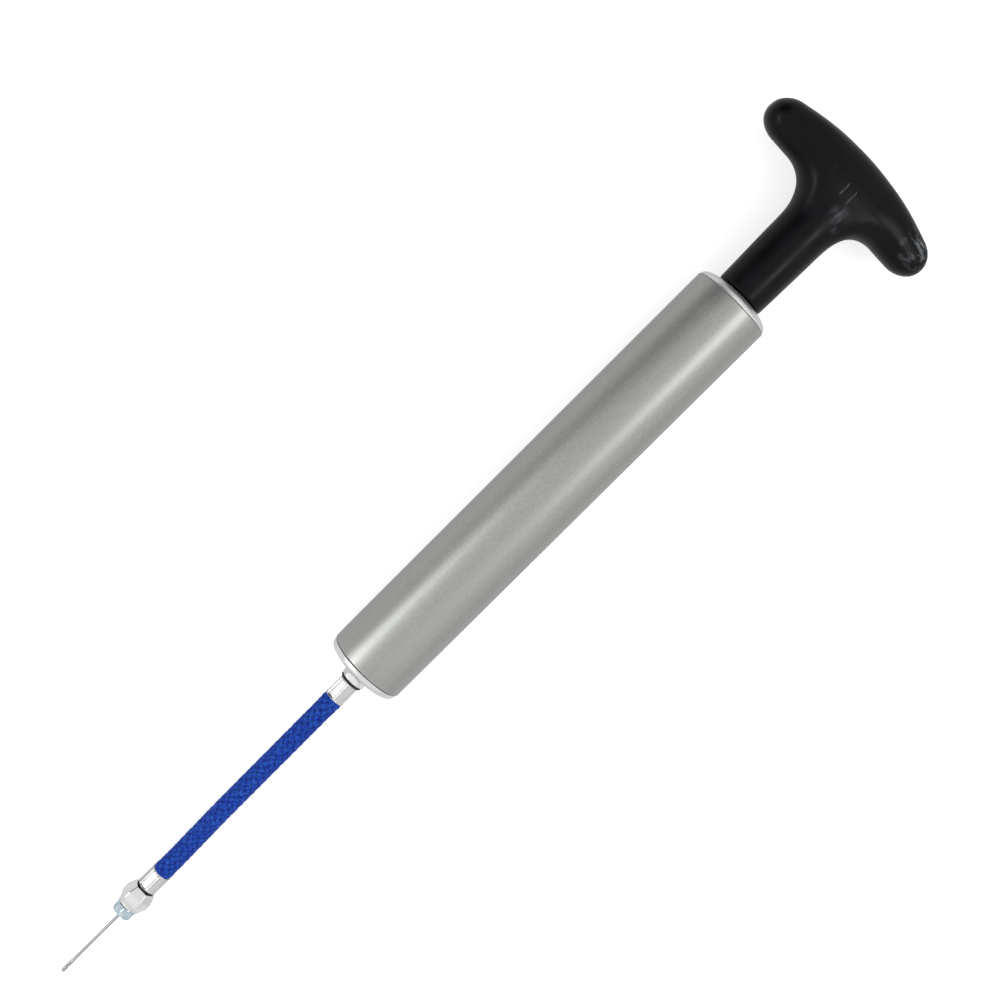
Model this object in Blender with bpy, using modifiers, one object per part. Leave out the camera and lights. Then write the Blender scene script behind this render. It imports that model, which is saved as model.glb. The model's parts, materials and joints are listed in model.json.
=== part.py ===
"""A ball inflation pump, lying on its barrel with the plunger pushed in.

Metres. +X runs along the pump towards its T-handle, +Z is up, and the grip's arms lie along Y. The origin
is on the surface under the pump, at the middle of its length without the hose and what hangs on it.

Stations are distances along the pump's axis from the outlet end of the barrel, positive towards the handle.
Every piece is a child of an empty whose local Z is the axis that the piece is turned about.
"""

import math

import bmesh
import bpy
from mathutils import Vector

MM = 0.001
GAP = 0.3 * MM

# Barrel
BARREL_RADIUS = 14.0 * MM
BARREL_WALL = 1.2 * MM
BARREL_LENGTH = 165.0 * MM
BORE_RADIUS = BARREL_RADIUS - BARREL_WALL

# Caps: both have a spigot in the tube and a light rim that shows outside it
RIM_RADIUS = 13.7 * MM
SPIGOT_RADIUS = BORE_RADIUS - GAP
CAP_SPIGOT_LENGTH = 9.0 * MM
CAP_SHOULDER_RADIUS = 11.2 * MM
CAP_SHOULDER_DEPTH = 3.0 * MM
CAP_FACE_RADIUS = 5.2 * MM
CAP_FACE_DEPTH = 4.5 * MM
SEAL_GROOVE_STATION = 5.8 * MM
SEAL_GROOVE_WIDTH = 2.3 * MM
SEAL_GROOVE_RADIUS = 10.8 * MM
SEAL_WIRE_RADIUS = 0.8 * MM
COLLAR_FACE = BARREL_LENGTH + 3.1 * MM
COLLAR_FACE_RADIUS = 9.8 * MM
COLLAR_SPIGOT_LENGTH = 9.7 * MM
COLLAR_BORE_RADIUS = 6.5 * MM

# Outlet fitting and check valve
SHANK_RADIUS = 3.6 * MM
CAP_BORE_RADIUS = SHANK_RADIUS + GAP
NIPPLE_HEX_CORNER = 4.5 * MM
NIPPLE_HEX_TOP = -5.0 * MM
NIPPLE_END = -7.0 * MM
NIPPLE_INNER_END = 5.3 * MM
VALVE_CHAMBER_RADIUS = 2.6 * MM
VALVE_CHAMBER_FLOOR = -2.6 * MM
AIR_HOLE_RADIUS = 1.0 * MM
STEM_SOCKET_RADIUS = 2.2 * MM
STEM_SOCKET_TOP = -4.2 * MM
SEAT_THICKNESS = 2.4 * MM
SEAT_HOLE_RADIUS = 1.3 * MM
BALL_RADIUS = 2.0 * MM
BALL_SET_BACK = 1.9 * MM
SPRING_RADIUS = 1.8 * MM
SPRING_WIRE_RADIUS = 0.3 * MM
SPRING_TURNS = 4
NIPPLE_RING_RADIUS = 4.3 * MM
NIPPLE_RING_THICKNESS = 0.6 * MM

# Hose and its ends: the far end lies on the surface
HOSE_RADIUS = 3.5 * MM
HOSE_TOP = -15.9 * MM
HOSE_END = -102.3 * MM
HOSE_POINTS = 9
HOSE_STEPS_BETWEEN = 8
FERRULE_RADIUS = 3.75 * MM
FERRULE_BORE = 2.6 * MM
FERRULE_FLAT = 3.5 * MM
FERRULE_UPPER_TOP = -8.0 * MM
FERRULE_LOWER_END = -109.95 * MM
STEM_RADIUS = 1.7 * MM
STEM_BARB_RADIUS = 2.2 * MM
STEM_HOLE_RADIUS = 0.9 * MM
STEM_BARBS = 3
UNIT_Y = -3.0 * MM
UNIT_Z = 5.35 * MM
UNIT_TURN = math.radians(-18.0)

# Needle and the nut that holds it
GASKET_RADIUS = 3.6 * MM
GASKET_END = -110.65 * MM
GASKET_THICKNESS = 0.45 * MM
NUT_TOP = -110.9 * MM
NUT_END = -118.95 * MM
NUT_CORNER = 5.45 * MM
NUT_END_RADIUS = 4.2 * MM
NUT_WIDE_TOP = -113.9 * MM
NUT_WIDE_END = -116.4 * MM
NUT_BACK_WALL = 2.1 * MM
THREAD_RADIUS = 2.4 * MM
THREAD_TOP = -113.4 * MM
THREAD_HOLE_RADIUS = THREAD_RADIUS + GAP
WASHER_RADIUS = 3.35 * MM
WASHER_RECESS_RADIUS = WASHER_RADIUS + GAP
WASHER_THICKNESS = 0.7 * MM
WASHER_LIFT = 0.05 * MM
FLANGE_RADIUS = 4.0 * MM
FLANGE_THICKNESS = 4.1 * MM
NEEDLE_RADIUS = 0.55 * MM
NEEDLE_HOLE_RADIUS = 0.28 * MM
NEEDLE_TIP = -152.7 * MM
NEEDLE_TIP_RADIUS = 0.66 * MM
NEEDLE_PORT_STATION = NEEDLE_TIP + 3.2 * MM
NEEDLE_PORT_RADIUS = 0.2 * MM

# Plunger
ROD_RADIUS = 4.0 * MM
ROD_HOLE_RADIUS = ROD_RADIUS + GAP
ROD_THIN_RADIUS = 2.5 * MM
ROD_THIN_HOLE_RADIUS = ROD_THIN_RADIUS + GAP
ROD_SHOULDER = 21.7 * MM
ROD_LOW_END = 10.2 * MM
ROD_HIGH_SHOULDER = 187.5 * MM
ROD_HIGH_RADIUS = 3.0 * MM
ROD_HIGH_END = 202.5 * MM
BUSH_RADIUS = COLLAR_BORE_RADIUS - GAP
BUSH_FLANGE_RADIUS = 9.0 * MM
BUSH_FLANGE_THICKNESS = 2.0 * MM
CUP_RADIUS = BORE_RADIUS - GAP
CUP_LIP = 1.2 * MM
CUP_WEB = 2.0 * MM
CUP_LENGTH = 8.5 * MM
BACK_PLATE_RADIUS = 11.4 * MM
BACK_PLATE_THICKNESS = 1.6 * MM
FRONT_PLATE_RADIUS = 10.4 * MM
FRONT_PLATE_THICKNESS = 1.3 * MM
LOCK_WASHER_RADIUS = 4.8 * MM
LOCK_WASHER_THICKNESS = 0.9 * MM
PISTON_NUT_CORNER = 4.6 * MM
PISTON_NUT_THICKNESS = 3.6 * MM
BUMPER_RADIUS = 8.5 * MM
BUMPER_LENGTH = 6.0 * MM

# Handle: a T-grip whose arms are ovals, on a neck that tapers towards the collar
NECK_END = 168.4 * MM
NECK_RADII = ((168.4 * MM, 8.5 * MM), (188.0 * MM, 8.95 * MM), (196.0 * MM, 9.3 * MM), (205.0 * MM, 9.4 * MM))
NECK_DOME_TOP = 219.0 * MM
GRIP_HALF_LENGTH = 36.1 * MM
GRIP_CROWN = 227.0 * MM
GRIP_CROWN_CURVE = 104.0 * MM
GRIP_UNDERSIDE = 208.8 * MM
GRIP_FILLET = 10.2 * MM
GRIP_FILLET_START = 9.3 * MM
GRIP_FILLET_END = 20.0 * MM
GRIP_END_LENGTH = 7.6 * MM
GRIP_END_POWER = 2.3
GRIP_HALF_DEPTH = 9.0 * MM
GRIP_END_DEPTH = 7.4 * MM
GRIP_SECTION_POWER = 2.2
GRIP_RING_POINTS = 20
INSERT_RADIUS = 5.6 * MM
INSERT_LENGTH = 15.0 * MM

# The row's frame
AXIS_HEIGHT = BARREL_RADIUS
FRAME_SHIFT = -0.5 * (NIPPLE_END + GRIP_CROWN)

# The hose's route: station along the pump, sideways, height. It leaves the fitting straight, sags to the
# surface under its own weight and ends level, where the nut rests on the surface.
HOSE_ROUTE = (
    (HOSE_TOP, 0.0 * MM, 14.00 * MM),
    (-22.0 * MM, 0.0 * MM, 13.92 * MM),
    (-34.0 * MM, -0.3 * MM, 13.00 * MM),
    (-46.0 * MM, -0.8 * MM, 11.35 * MM),
    (-59.0 * MM, -1.4 * MM, 9.35 * MM),
    (-72.0 * MM, -2.0 * MM, 7.45 * MM),
    (-84.0 * MM, -2.6 * MM, 6.05 * MM),
    (-96.0 * MM, UNIT_Y, 5.42 * MM),
    (HOSE_END, UNIT_Y, UNIT_Z),
)


def clear_scene():
    for obj in list(bpy.data.objects):
        bpy.data.objects.remove(obj, do_unlink=True)


def new_collection(name):
    collection = bpy.data.collections.new(name)
    bpy.context.scene.collection.children.link(collection)
    return collection


def new_material(name, color, roughness, metallic=0.0):
    material = bpy.data.materials.new(name)
    material.use_nodes = True
    shader = material.node_tree.nodes["Principled BSDF"]
    shader.inputs["Base Color"].default_value = (*color, 1.0)
    shader.inputs["Roughness"].default_value = roughness
    shader.inputs["Metallic"].default_value = metallic
    return material


clear_scene()
PARTS = new_collection("ball_pump")
CUTTERS = new_collection("cutters")

BARREL_METAL = new_material("barrel_metal", (0.40, 0.41, 0.38), 0.38, 0.9)
CAP_METAL = new_material("cap_metal", (0.72, 0.73, 0.72), 0.35, 0.8)
CHROME = new_material("chrome", (0.80, 0.80, 0.82), 0.15, 1.0)
ZINC = new_material("zinc", (0.58, 0.66, 0.71), 0.30, 1.0)
STEEL = new_material("steel", (0.60, 0.60, 0.61), 0.25, 1.0)
BRASS = new_material("brass", (0.72, 0.55, 0.25), 0.30, 1.0)
BLACK_PLASTIC = new_material("black_plastic", (0.012, 0.012, 0.014), 0.38)
BLACK_RUBBER = new_material("black_rubber", (0.010, 0.010, 0.010), 0.75)
WHITE_NYLON = new_material("white_nylon", (0.75, 0.75, 0.72), 0.45)
BLUE_BRAID = new_material("blue_braid", (0.012, 0.05, 0.42), 0.85)


def new_axis(name, sideways, height):
    """An empty whose local Z is an axis along world X, with station 0 at the barrel's outlet end."""
    axis = bpy.data.objects.new(name, None)
    axis.location = (FRAME_SHIFT, sideways, height)
    axis.rotation_euler = (0.0, math.pi / 2, 0.0)
    PARTS.objects.link(axis)
    return axis


PUMP_AXIS = new_axis("pump_axis", 0.0, AXIS_HEIGHT)
UNIT_AXIS = new_axis("needle_axis", UNIT_Y, UNIT_Z)
bpy.context.view_layer.update()


def place(obj, material, axis=PUMP_AXIS, station=0.0, turn=0.0):
    """Puts a piece on its axis, with its origin at a station, and gives it its material."""
    obj.parent = axis
    obj.location = (0.0, 0.0, station)
    obj.rotation_euler = (0.0, 0.0, turn)
    obj.data.materials.append(material)
    PARTS.objects.link(obj)
    return obj


def smooth_by_angle(mesh):
    mesh.shade_smooth()
    mesh.set_sharp_from_angle(angle=math.radians(35))


def settled(obj):
    """Replaces an unlinked object's modifiers by the mesh that they make."""
    bpy.context.scene.collection.objects.link(obj)
    graph = bpy.context.evaluated_depsgraph_get()
    mesh = bpy.data.meshes.new_from_object(obj.evaluated_get(graph))
    bpy.data.objects.remove(obj, do_unlink=True)
    smooth_by_angle(mesh)
    return mesh


def turned_mesh(name, profile, segments):
    """The mesh of a profile of (radius, station) points turned about local Z.

    The profile runs down its outer side. It is a closed loop, or an open line from axis to axis.
    """
    outline = bpy.data.meshes.new(name)
    count = len(profile)
    solid = profile[0][0] == 0.0 and profile[-1][0] == 0.0
    edges = [(i, (i + 1) % count) for i in range(count - 1 if solid else count)]
    outline.from_pydata([(radius, 0.0, station) for radius, station in profile], edges, [])
    obj = bpy.data.objects.new(name, outline)
    screw = obj.modifiers.new("turn", "SCREW")
    screw.steps = segments
    screw.render_steps = segments
    screw.use_merge_vertices = True
    screw.merge_threshold = 0.000002
    mesh = settled(obj)
    mesh.name = name
    return mesh


def turned(name, profile, material, segments=24, **where):
    """A named piece turned from a profile of absolute stations."""
    return place(bpy.data.objects.new(name, turned_mesh(name, profile, segments)), material, **where)


def rounded(corners, steps=3):
    """A profile with rounded corners: each corner is (radius, station) or (radius, station, rounding)."""
    profile = []
    count = len(corners)
    for i, corner in enumerate(corners):
        here = Vector(corner[:2])
        if len(corner) == 2:
            profile.append(tuple(here))
            continue
        before = (Vector(corners[i - 1][:2]) - here).normalized() * corner[2]
        after = (Vector(corners[(i + 1) % count][:2]) - here).normalized() * corner[2]
        for step in range(steps + 1):
            t = step / steps
            point = here + before * (1 - t) ** 2 + after * t**2
            profile.append(tuple(point))
    return profile


def ring(outer, inner, top, bottom):
    """The profile of a plain ring."""
    return [(outer, top), (outer, bottom), (inner, bottom), (inner, top)]


def sleeve(outer, inner, top, bottom, chamfer=0.2 * MM):
    """The profile of a ring with its outer edges broken."""
    return [
        (outer - chamfer, top),
        (outer, top - chamfer),
        (outer, bottom + chamfer),
        (outer - chamfer, bottom),
        (inner, bottom),
        (inner, top),
    ]


def torus_profile(ring_radius, wire_radius, station, points=8):
    """A round section, run so that its outer side goes down."""
    angles = [-2 * math.pi * i / points for i in range(points)]
    return [(ring_radius + wire_radius * math.cos(a), station + wire_radius * math.sin(a)) for a in angles]


def cutter(name, mesh, like, turn=0.0):
    """A hidden helper on the same axis as the piece it works on."""
    obj = bpy.data.objects.new(name, mesh)
    obj.parent = like.parent
    obj.location = like.location
    obj.rotation_euler = (0.0, 0.0, turn)
    obj.hide_render = True
    obj.display_type = "WIRE"
    CUTTERS.objects.link(obj)
    return obj


def boolean(obj, helper, operation):
    modifier = obj.modifiers.new(helper.name, "BOOLEAN")
    modifier.operation = operation
    modifier.object = helper
    return modifier


def prism_mesh(name, corner_radius, top, bottom, sides=6):
    """A prism along local Z with a corner on local Y, so that its flats face local X."""
    mesh = bpy.data.meshes.new(name)
    shape = bmesh.new()
    bmesh.ops.create_cone(
        shape, cap_ends=True, segments=sides, radius1=corner_radius, radius2=corner_radius, depth=top - bottom
    )
    bmesh.ops.translate(shape, verts=shape.verts, vec=(0.0, 0.0, 0.5 * (top + bottom)))
    shape.to_mesh(mesh)
    shape.free()
    return mesh


def cut_to_hex(obj, corner_radius, top, bottom, turn=0.0):
    """Leaves only what lies inside a hexagonal bar between two stations."""
    bar = prism_mesh(obj.name + "_bar", corner_radius, top, bottom)
    boolean(obj, cutter(obj.name + "_hex", bar, obj, turn), "INTERSECT")


def make_barrel_tube():
    turned("barrel_tube", sleeve(BARREL_RADIUS, BORE_RADIUS, BARREL_LENGTH, 0.0, 0.25 * MM), BARREL_METAL, 48)


def make_bottom_cap():
    """Domed rim outside the tube; the spigot inside it has a seal groove and the fitting's bore."""
    groove_top = SEAL_GROOVE_STATION + 0.5 * SEAL_GROOVE_WIDTH
    groove_bottom = SEAL_GROOVE_STATION - 0.5 * SEAL_GROOVE_WIDTH
    corners = [
        (SPIGOT_RADIUS - 0.4 * MM, CAP_SPIGOT_LENGTH),
        (SPIGOT_RADIUS, CAP_SPIGOT_LENGTH - 0.4 * MM),
        (SPIGOT_RADIUS, groove_top),
        (SEAL_GROOVE_RADIUS, groove_top),
        (SEAL_GROOVE_RADIUS, groove_bottom),
        (SPIGOT_RADIUS, groove_bottom),
        (SPIGOT_RADIUS, -GAP),
        (RIM_RADIUS, -GAP),
        (RIM_RADIUS - 0.2 * MM, -CAP_SHOULDER_DEPTH + 0.4 * MM, 2.0 * MM),
        (CAP_SHOULDER_RADIUS - 1.2 * MM, -CAP_SHOULDER_DEPTH - 0.3 * MM, 0.9 * MM),
        (CAP_FACE_RADIUS, -CAP_FACE_DEPTH),
        (CAP_BORE_RADIUS, -CAP_FACE_DEPTH),
        (CAP_BORE_RADIUS, CAP_SPIGOT_LENGTH),
    ]
    turned("bottom_cap", rounded(corners), CAP_METAL, 40)


def make_cap_o_ring():
    ring_radius = BORE_RADIUS - SEAL_WIRE_RADIUS - 0.15 * MM
    turned("cap_o_ring", torus_profile(ring_radius, SEAL_WIRE_RADIUS, SEAL_GROOVE_STATION), BLACK_RUBBER, 32)


def make_top_collar():
    """Rounded rim outside the tube, spigot inside, bore for the guide bush."""
    inner_end = BARREL_LENGTH - COLLAR_SPIGOT_LENGTH
    corners = [
        (COLLAR_FACE_RADIUS, COLLAR_FACE, 0.5 * MM),
        (RIM_RADIUS - 0.9 * MM, BARREL_LENGTH + 1.9 * MM, 1.0 * MM),
        (RIM_RADIUS, BARREL_LENGTH + GAP),
        (SPIGOT_RADIUS, BARREL_LENGTH + GAP),
        (SPIGOT_RADIUS, inner_end + 0.4 * MM),
        (SPIGOT_RADIUS - 0.4 * MM, inner_end),
        (COLLAR_BORE_RADIUS, inner_end),
        (COLLAR_BORE_RADIUS, COLLAR_FACE),
    ]
    turned("top_collar", rounded(corners), CAP_METAL, 40)


def make_guide_bush():
    """A plain bearing with a flange on the inner side, which is also the plunger's stop."""
    inner_end = BARREL_LENGTH - COLLAR_SPIGOT_LENGTH - GAP
    low = inner_end - BUSH_FLANGE_THICKNESS
    profile = [
        (BUSH_RADIUS, COLLAR_FACE - 0.1 * MM),
        (BUSH_RADIUS, inner_end),
        (BUSH_FLANGE_RADIUS, inner_end),
        (BUSH_FLANGE_RADIUS, low),
        (ROD_HOLE_RADIUS, low),
        (ROD_HOLE_RADIUS, COLLAR_FACE - 0.1 * MM),
    ]
    turned("guide_bush", profile, BLACK_PLASTIC)


def make_outlet_nipple():
    """Hex fitting: the shank in the cap holds the valve chamber, the outer end has the hose stem's socket."""
    corners = [
        (SHANK_RADIUS, NIPPLE_INNER_END),
        (SHANK_RADIUS, NIPPLE_HEX_TOP),
        (NIPPLE_HEX_CORNER - 0.35 * MM, NIPPLE_HEX_TOP),
        (NIPPLE_HEX_CORNER, NIPPLE_HEX_TOP - 0.35 * MM),
        (NIPPLE_HEX_CORNER, NIPPLE_END + 0.35 * MM),
        (NIPPLE_HEX_CORNER - 0.35 * MM, NIPPLE_END),
        (STEM_SOCKET_RADIUS, NIPPLE_END),
        (STEM_SOCKET_RADIUS, STEM_SOCKET_TOP),
        (AIR_HOLE_RADIUS, STEM_SOCKET_TOP),
        (AIR_HOLE_RADIUS, VALVE_CHAMBER_FLOOR),
        (VALVE_CHAMBER_RADIUS, VALVE_CHAMBER_FLOOR),
        (VALVE_CHAMBER_RADIUS, NIPPLE_INNER_END),
    ]
    nipple = turned("outlet_nipple", corners, CHROME)
    cut_to_hex(nipple, NIPPLE_HEX_CORNER, NIPPLE_INNER_END + MM, NIPPLE_END - MM, UNIT_TURN)


def make_nipple_o_ring():
    top = NIPPLE_END - 0.15 * MM
    profile = sleeve(NIPPLE_RING_RADIUS, STEM_SOCKET_RADIUS, top, top - NIPPLE_RING_THICKNESS)
    turned("nipple_o_ring", profile, BLACK_RUBBER)


def make_valve():
    """The seat ring in the cap, and the ball that the spring holds against it."""
    seat_low = NIPPLE_INNER_END + GAP
    seat = ring(SHANK_RADIUS, SEAT_HOLE_RADIUS, seat_low + SEAT_THICKNESS, seat_low)
    turned("valve_seat", seat, BLACK_RUBBER)
    ball_station = seat_low - BALL_SET_BACK
    mesh = bpy.data.meshes.new("valve_ball")
    shape = bmesh.new()
    bmesh.ops.create_uvsphere(shape, u_segments=16, v_segments=10, radius=BALL_RADIUS)
    shape.to_mesh(mesh)
    shape.free()
    mesh.shade_smooth()
    place(bpy.data.objects.new("valve_ball", mesh), STEEL, station=ball_station)
    reach = BALL_RADIUS + GAP + SPRING_WIRE_RADIUS
    spring_top = ball_station - math.sqrt(reach**2 - SPRING_RADIUS**2)
    spring_bottom = VALVE_CHAMBER_FLOOR + GAP + SPRING_WIRE_RADIUS
    coil("valve_spring", spring_bottom, spring_top)


def coil(name, bottom, top, points_per_turn=10):
    """A compression spring about the pump's axis."""
    curve = wire_curve(name, SPRING_WIRE_RADIUS, 2)
    count = SPRING_TURNS * points_per_turn + 1
    spline = curve.splines.new("POLY")
    spline.points.add(count - 1)
    for i, point in enumerate(spline.points):
        angle = 2 * math.pi * i / points_per_turn
        station = bottom + (top - bottom) * i / (count - 1)
        point.co = (SPRING_RADIUS * math.cos(angle), SPRING_RADIUS * math.sin(angle), station, 1.0)
    place(bpy.data.objects.new(name, curve), STEEL)


def wire_curve(name, radius, resolution):
    curve = bpy.data.curves.new(name, "CURVE")
    curve.dimensions = "3D"
    curve.bevel_depth = radius
    curve.bevel_resolution = resolution
    curve.use_fill_caps = True
    return curve


def smooth_points(route, steps_between):
    """Points on a smooth curve through the route's own points (Catmull-Rom)."""
    ends = [2 * route[0] - route[1], *route, 2 * route[-1] - route[-2]]
    points = []
    for before, start, end, after in zip(ends, ends[1:], ends[2:], ends[3:]):
        for step in range(steps_between):
            t = step / steps_between
            a = 2 * start
            b = end - before
            c = 2 * before - 5 * start + 4 * end - after
            d = 3 * start - before - 3 * end + after
            points.append(0.5 * (a + b * t + c * t**2 + d * t**3))
    points.append(route[-1])
    return points


def make_hose():
    """The hose between its two ferrules, along its route in world coordinates."""
    route = [Vector((station + FRAME_SHIFT, sideways, height)) for station, sideways, height in HOSE_ROUTE]
    dense = smooth_points(route, HOSE_STEPS_BETWEEN)
    chosen = [dense[round(i * (len(dense) - 1) / (HOSE_POINTS - 1))] for i in range(HOSE_POINTS)]
    curve = wire_curve("hose", HOSE_RADIUS, 4)
    spline = curve.splines.new("POLY")
    spline.points.add(HOSE_POINTS - 1)
    for point, where in zip(spline.points, chosen):
        point.co = (*where, 1.0)
    curve.materials.append(BLUE_BRAID)
    PARTS.objects.link(bpy.data.objects.new("hose", curve))


def ferrule(name, axis, top, bottom):
    """A crimped sleeve: round at its ends, pressed to a hexagon between them."""
    obj = turned(name, sleeve(FERRULE_RADIUS, FERRULE_BORE, top, bottom), CHROME, 36, axis=axis)
    cut_to_hex(obj, FERRULE_FLAT / math.cos(math.pi / 6), top + MM, bottom - MM, UNIT_TURN)


def stem(name, axis, barbs_top, barbs_bottom, spigot_end):
    """A hollow stem: a row of barbs in the ferrule, and a plain spigot towards the fitting."""
    away = -1.0 if barbs_top > spigot_end else 1.0
    start = barbs_top if away < 0 else barbs_bottom
    pitch = (barbs_top - barbs_bottom) / STEM_BARBS
    outer = [(STEM_RADIUS, start)]
    for i in range(STEM_BARBS):
        foot = start + away * (i + 1) * pitch
        outer.append((STEM_BARB_RADIUS, foot - away * 0.1 * MM))
        outer.append((STEM_RADIUS, foot))
    outer.append((STEM_RADIUS, spigot_end))
    if away > 0:
        outer.reverse()
    profile = [*outer, (STEM_HOLE_RADIUS, outer[-1][1]), (STEM_HOLE_RADIUS, outer[0][1])]
    turned(name, profile, STEEL, 20, axis=axis)


def make_upper_hose_end():
    bottom = HOSE_TOP + GAP
    ferrule("hose_ferrule_upper", PUMP_AXIS, FERRULE_UPPER_TOP, bottom)
    stem("hose_stem_upper", PUMP_AXIS, FERRULE_UPPER_TOP - 0.5 * MM, bottom, NIPPLE_END + 2.0 * MM)


def make_lower_hose_end():
    top = HOSE_END - GAP
    ferrule("hose_ferrule_lower", UNIT_AXIS, top, FERRULE_LOWER_END)
    stem("hose_stem_lower", UNIT_AXIS, top, FERRULE_LOWER_END + 0.5 * MM, NUT_TOP - NUT_BACK_WALL + 0.3 * MM)


def make_nut():
    """A hex nut coned at both ends, recessed for the washer, and the gasket behind it."""
    gasket_top = GASKET_END + GASKET_THICKNESS
    gasket = sleeve(GASKET_RADIUS, STEM_SOCKET_RADIUS, gasket_top, GASKET_END, 0.1 * MM)
    turned("nut_gasket", gasket, BLACK_RUBBER, axis=UNIT_AXIS)
    recess_floor = NUT_END + WASHER_LIFT + WASHER_THICKNESS + 0.25 * MM
    corners = [
        (NUT_END_RADIUS, NUT_TOP),
        (NUT_CORNER, NUT_WIDE_TOP),
        (NUT_CORNER, NUT_WIDE_END),
        (NUT_END_RADIUS, NUT_END + 0.4 * MM),
        (NUT_END_RADIUS, NUT_END),
        (WASHER_RECESS_RADIUS, NUT_END),
        (WASHER_RECESS_RADIUS, recess_floor),
        (THREAD_HOLE_RADIUS, recess_floor),
        (THREAD_HOLE_RADIUS, NUT_TOP - NUT_BACK_WALL),
        (STEM_SOCKET_RADIUS, NUT_TOP - NUT_BACK_WALL),
        (STEM_SOCKET_RADIUS, NUT_TOP),
    ]
    nut = turned("needle_nut", corners, CHROME, 36, axis=UNIT_AXIS)
    cut_to_hex(nut, NUT_CORNER, NUT_TOP + MM, NUT_END - MM, UNIT_TURN)


def make_needle():
    """Washer in the nut's recess, threaded base with its flange, and the hollow needle with its port."""
    washer_bottom = NUT_END + WASHER_LIFT
    washer_top = washer_bottom + WASHER_THICKNESS
    washer = sleeve(WASHER_RADIUS, THREAD_HOLE_RADIUS, washer_top, washer_bottom, 0.1 * MM)
    turned("needle_washer", washer, WHITE_NYLON, axis=UNIT_AXIS)
    flange_top = washer_bottom - GAP
    flange_bottom = flange_top - FLANGE_THICKNESS
    hole = NEEDLE_RADIUS + 0.25 * MM
    base = [
        (THREAD_RADIUS - 0.3 * MM, THREAD_TOP),
        (THREAD_RADIUS, THREAD_TOP - 0.3 * MM),
        (THREAD_RADIUS, flange_top),
        (FLANGE_RADIUS - 0.3 * MM, flange_top),
        (FLANGE_RADIUS, flange_top - 0.3 * MM),
        (FLANGE_RADIUS, flange_bottom + 1.0 * MM),
        (FLANGE_RADIUS - 0.7 * MM, flange_bottom),
        (1.8 * MM, flange_bottom - 0.2 * MM),
        (1.2 * MM, flange_bottom - 0.9 * MM),
        (hole, flange_bottom - 0.9 * MM),
        (hole, THREAD_TOP),
    ]
    turned("needle_base", base, ZINC, axis=UNIT_AXIS)
    bore_end = NEEDLE_TIP + 1.5 * MM
    tube = [
        (0.0, bore_end),
        (NEEDLE_HOLE_RADIUS, bore_end + 0.2 * MM),
        (NEEDLE_HOLE_RADIUS, THREAD_TOP),
        (NEEDLE_RADIUS, THREAD_TOP),
        (NEEDLE_RADIUS, NEEDLE_TIP + 6.0 * MM),
        (NEEDLE_TIP_RADIUS, NEEDLE_TIP + 4.5 * MM),
        (NEEDLE_TIP_RADIUS, NEEDLE_TIP + 0.9 * MM),
        (0.75 * NEEDLE_TIP_RADIUS, NEEDLE_TIP + 0.25 * MM),
        (0.35 * NEEDLE_TIP_RADIUS, NEEDLE_TIP + 0.04 * MM),
        (0.0, NEEDLE_TIP),
    ]
    needle = turned("needle_tube", tube, STEEL, 16, axis=UNIT_AXIS)
    port = prism_mesh("needle_port_bar", NEEDLE_PORT_RADIUS, 2.0 * MM, 0.0, 8)
    port_cutter = cutter("needle_port", port, needle)
    port_cutter.location = (0.0, 0.0, NEEDLE_PORT_STATION)
    port_cutter.rotation_euler = (0.0, -math.pi / 2, 0.0)
    boolean(needle, port_cutter, "DIFFERENCE")


def make_plunger_rod():
    profile = [
        (0.0, ROD_HIGH_END),
        (ROD_HIGH_RADIUS - 0.4 * MM, ROD_HIGH_END),
        (ROD_HIGH_RADIUS, ROD_HIGH_END - 0.4 * MM),
        (ROD_HIGH_RADIUS, ROD_HIGH_SHOULDER),
        (ROD_RADIUS, ROD_HIGH_SHOULDER),
        (ROD_RADIUS, ROD_SHOULDER),
        (ROD_THIN_RADIUS, ROD_SHOULDER),
        (ROD_THIN_RADIUS, ROD_LOW_END + 0.4 * MM),
        (ROD_THIN_RADIUS - 0.4 * MM, ROD_LOW_END),
        (0.0, ROD_LOW_END),
    ]
    turned("plunger_rod", profile, STEEL)


def make_piston():
    """The stack on the rod's thin end, from the shoulder down to the nut."""
    top = ROD_SHOULDER - GAP
    bottom = top - BACK_PLATE_THICKNESS
    turned("piston_back_plate", ring(BACK_PLATE_RADIUS, ROD_THIN_HOLE_RADIUS, top, bottom), STEEL, 32)
    top = bottom - GAP
    cup = [
        (CUP_RADIUS - 0.6 * MM, top),
        (CUP_RADIUS, top - 0.6 * MM),
        (CUP_RADIUS, top - CUP_LENGTH),
        (CUP_RADIUS - 0.5 * CUP_LIP, top - CUP_LENGTH),
        (CUP_RADIUS - CUP_LIP, top - CUP_WEB),
        (ROD_THIN_HOLE_RADIUS, top - CUP_WEB),
        (ROD_THIN_HOLE_RADIUS, top),
    ]
    turned("piston_cup", cup, BLACK_RUBBER, 40)
    top = top - CUP_WEB - GAP
    bottom = top - FRONT_PLATE_THICKNESS
    turned("piston_front_plate", ring(FRONT_PLATE_RADIUS, ROD_THIN_HOLE_RADIUS, top, bottom), STEEL, 32)
    top = bottom - GAP
    bottom = top - LOCK_WASHER_THICKNESS
    turned("piston_lock_washer", ring(LOCK_WASHER_RADIUS, ROD_THIN_HOLE_RADIUS, top, bottom), STEEL)
    top = bottom - GAP
    bottom = top - PISTON_NUT_THICKNESS
    blank = sleeve(PISTON_NUT_CORNER, ROD_THIN_HOLE_RADIUS, top, bottom, 0.4 * MM)
    nut = turned("piston_nut", blank, STEEL)
    cut_to_hex(nut, PISTON_NUT_CORNER, top + MM, bottom - MM)


def make_stop_bumper():
    bottom = ROD_SHOULDER + GAP
    profile = sleeve(BUMPER_RADIUS, ROD_HOLE_RADIUS, bottom + BUMPER_LENGTH, bottom, 0.8 * MM)
    turned("stop_bumper", profile, BLACK_RUBBER, 32)


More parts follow.
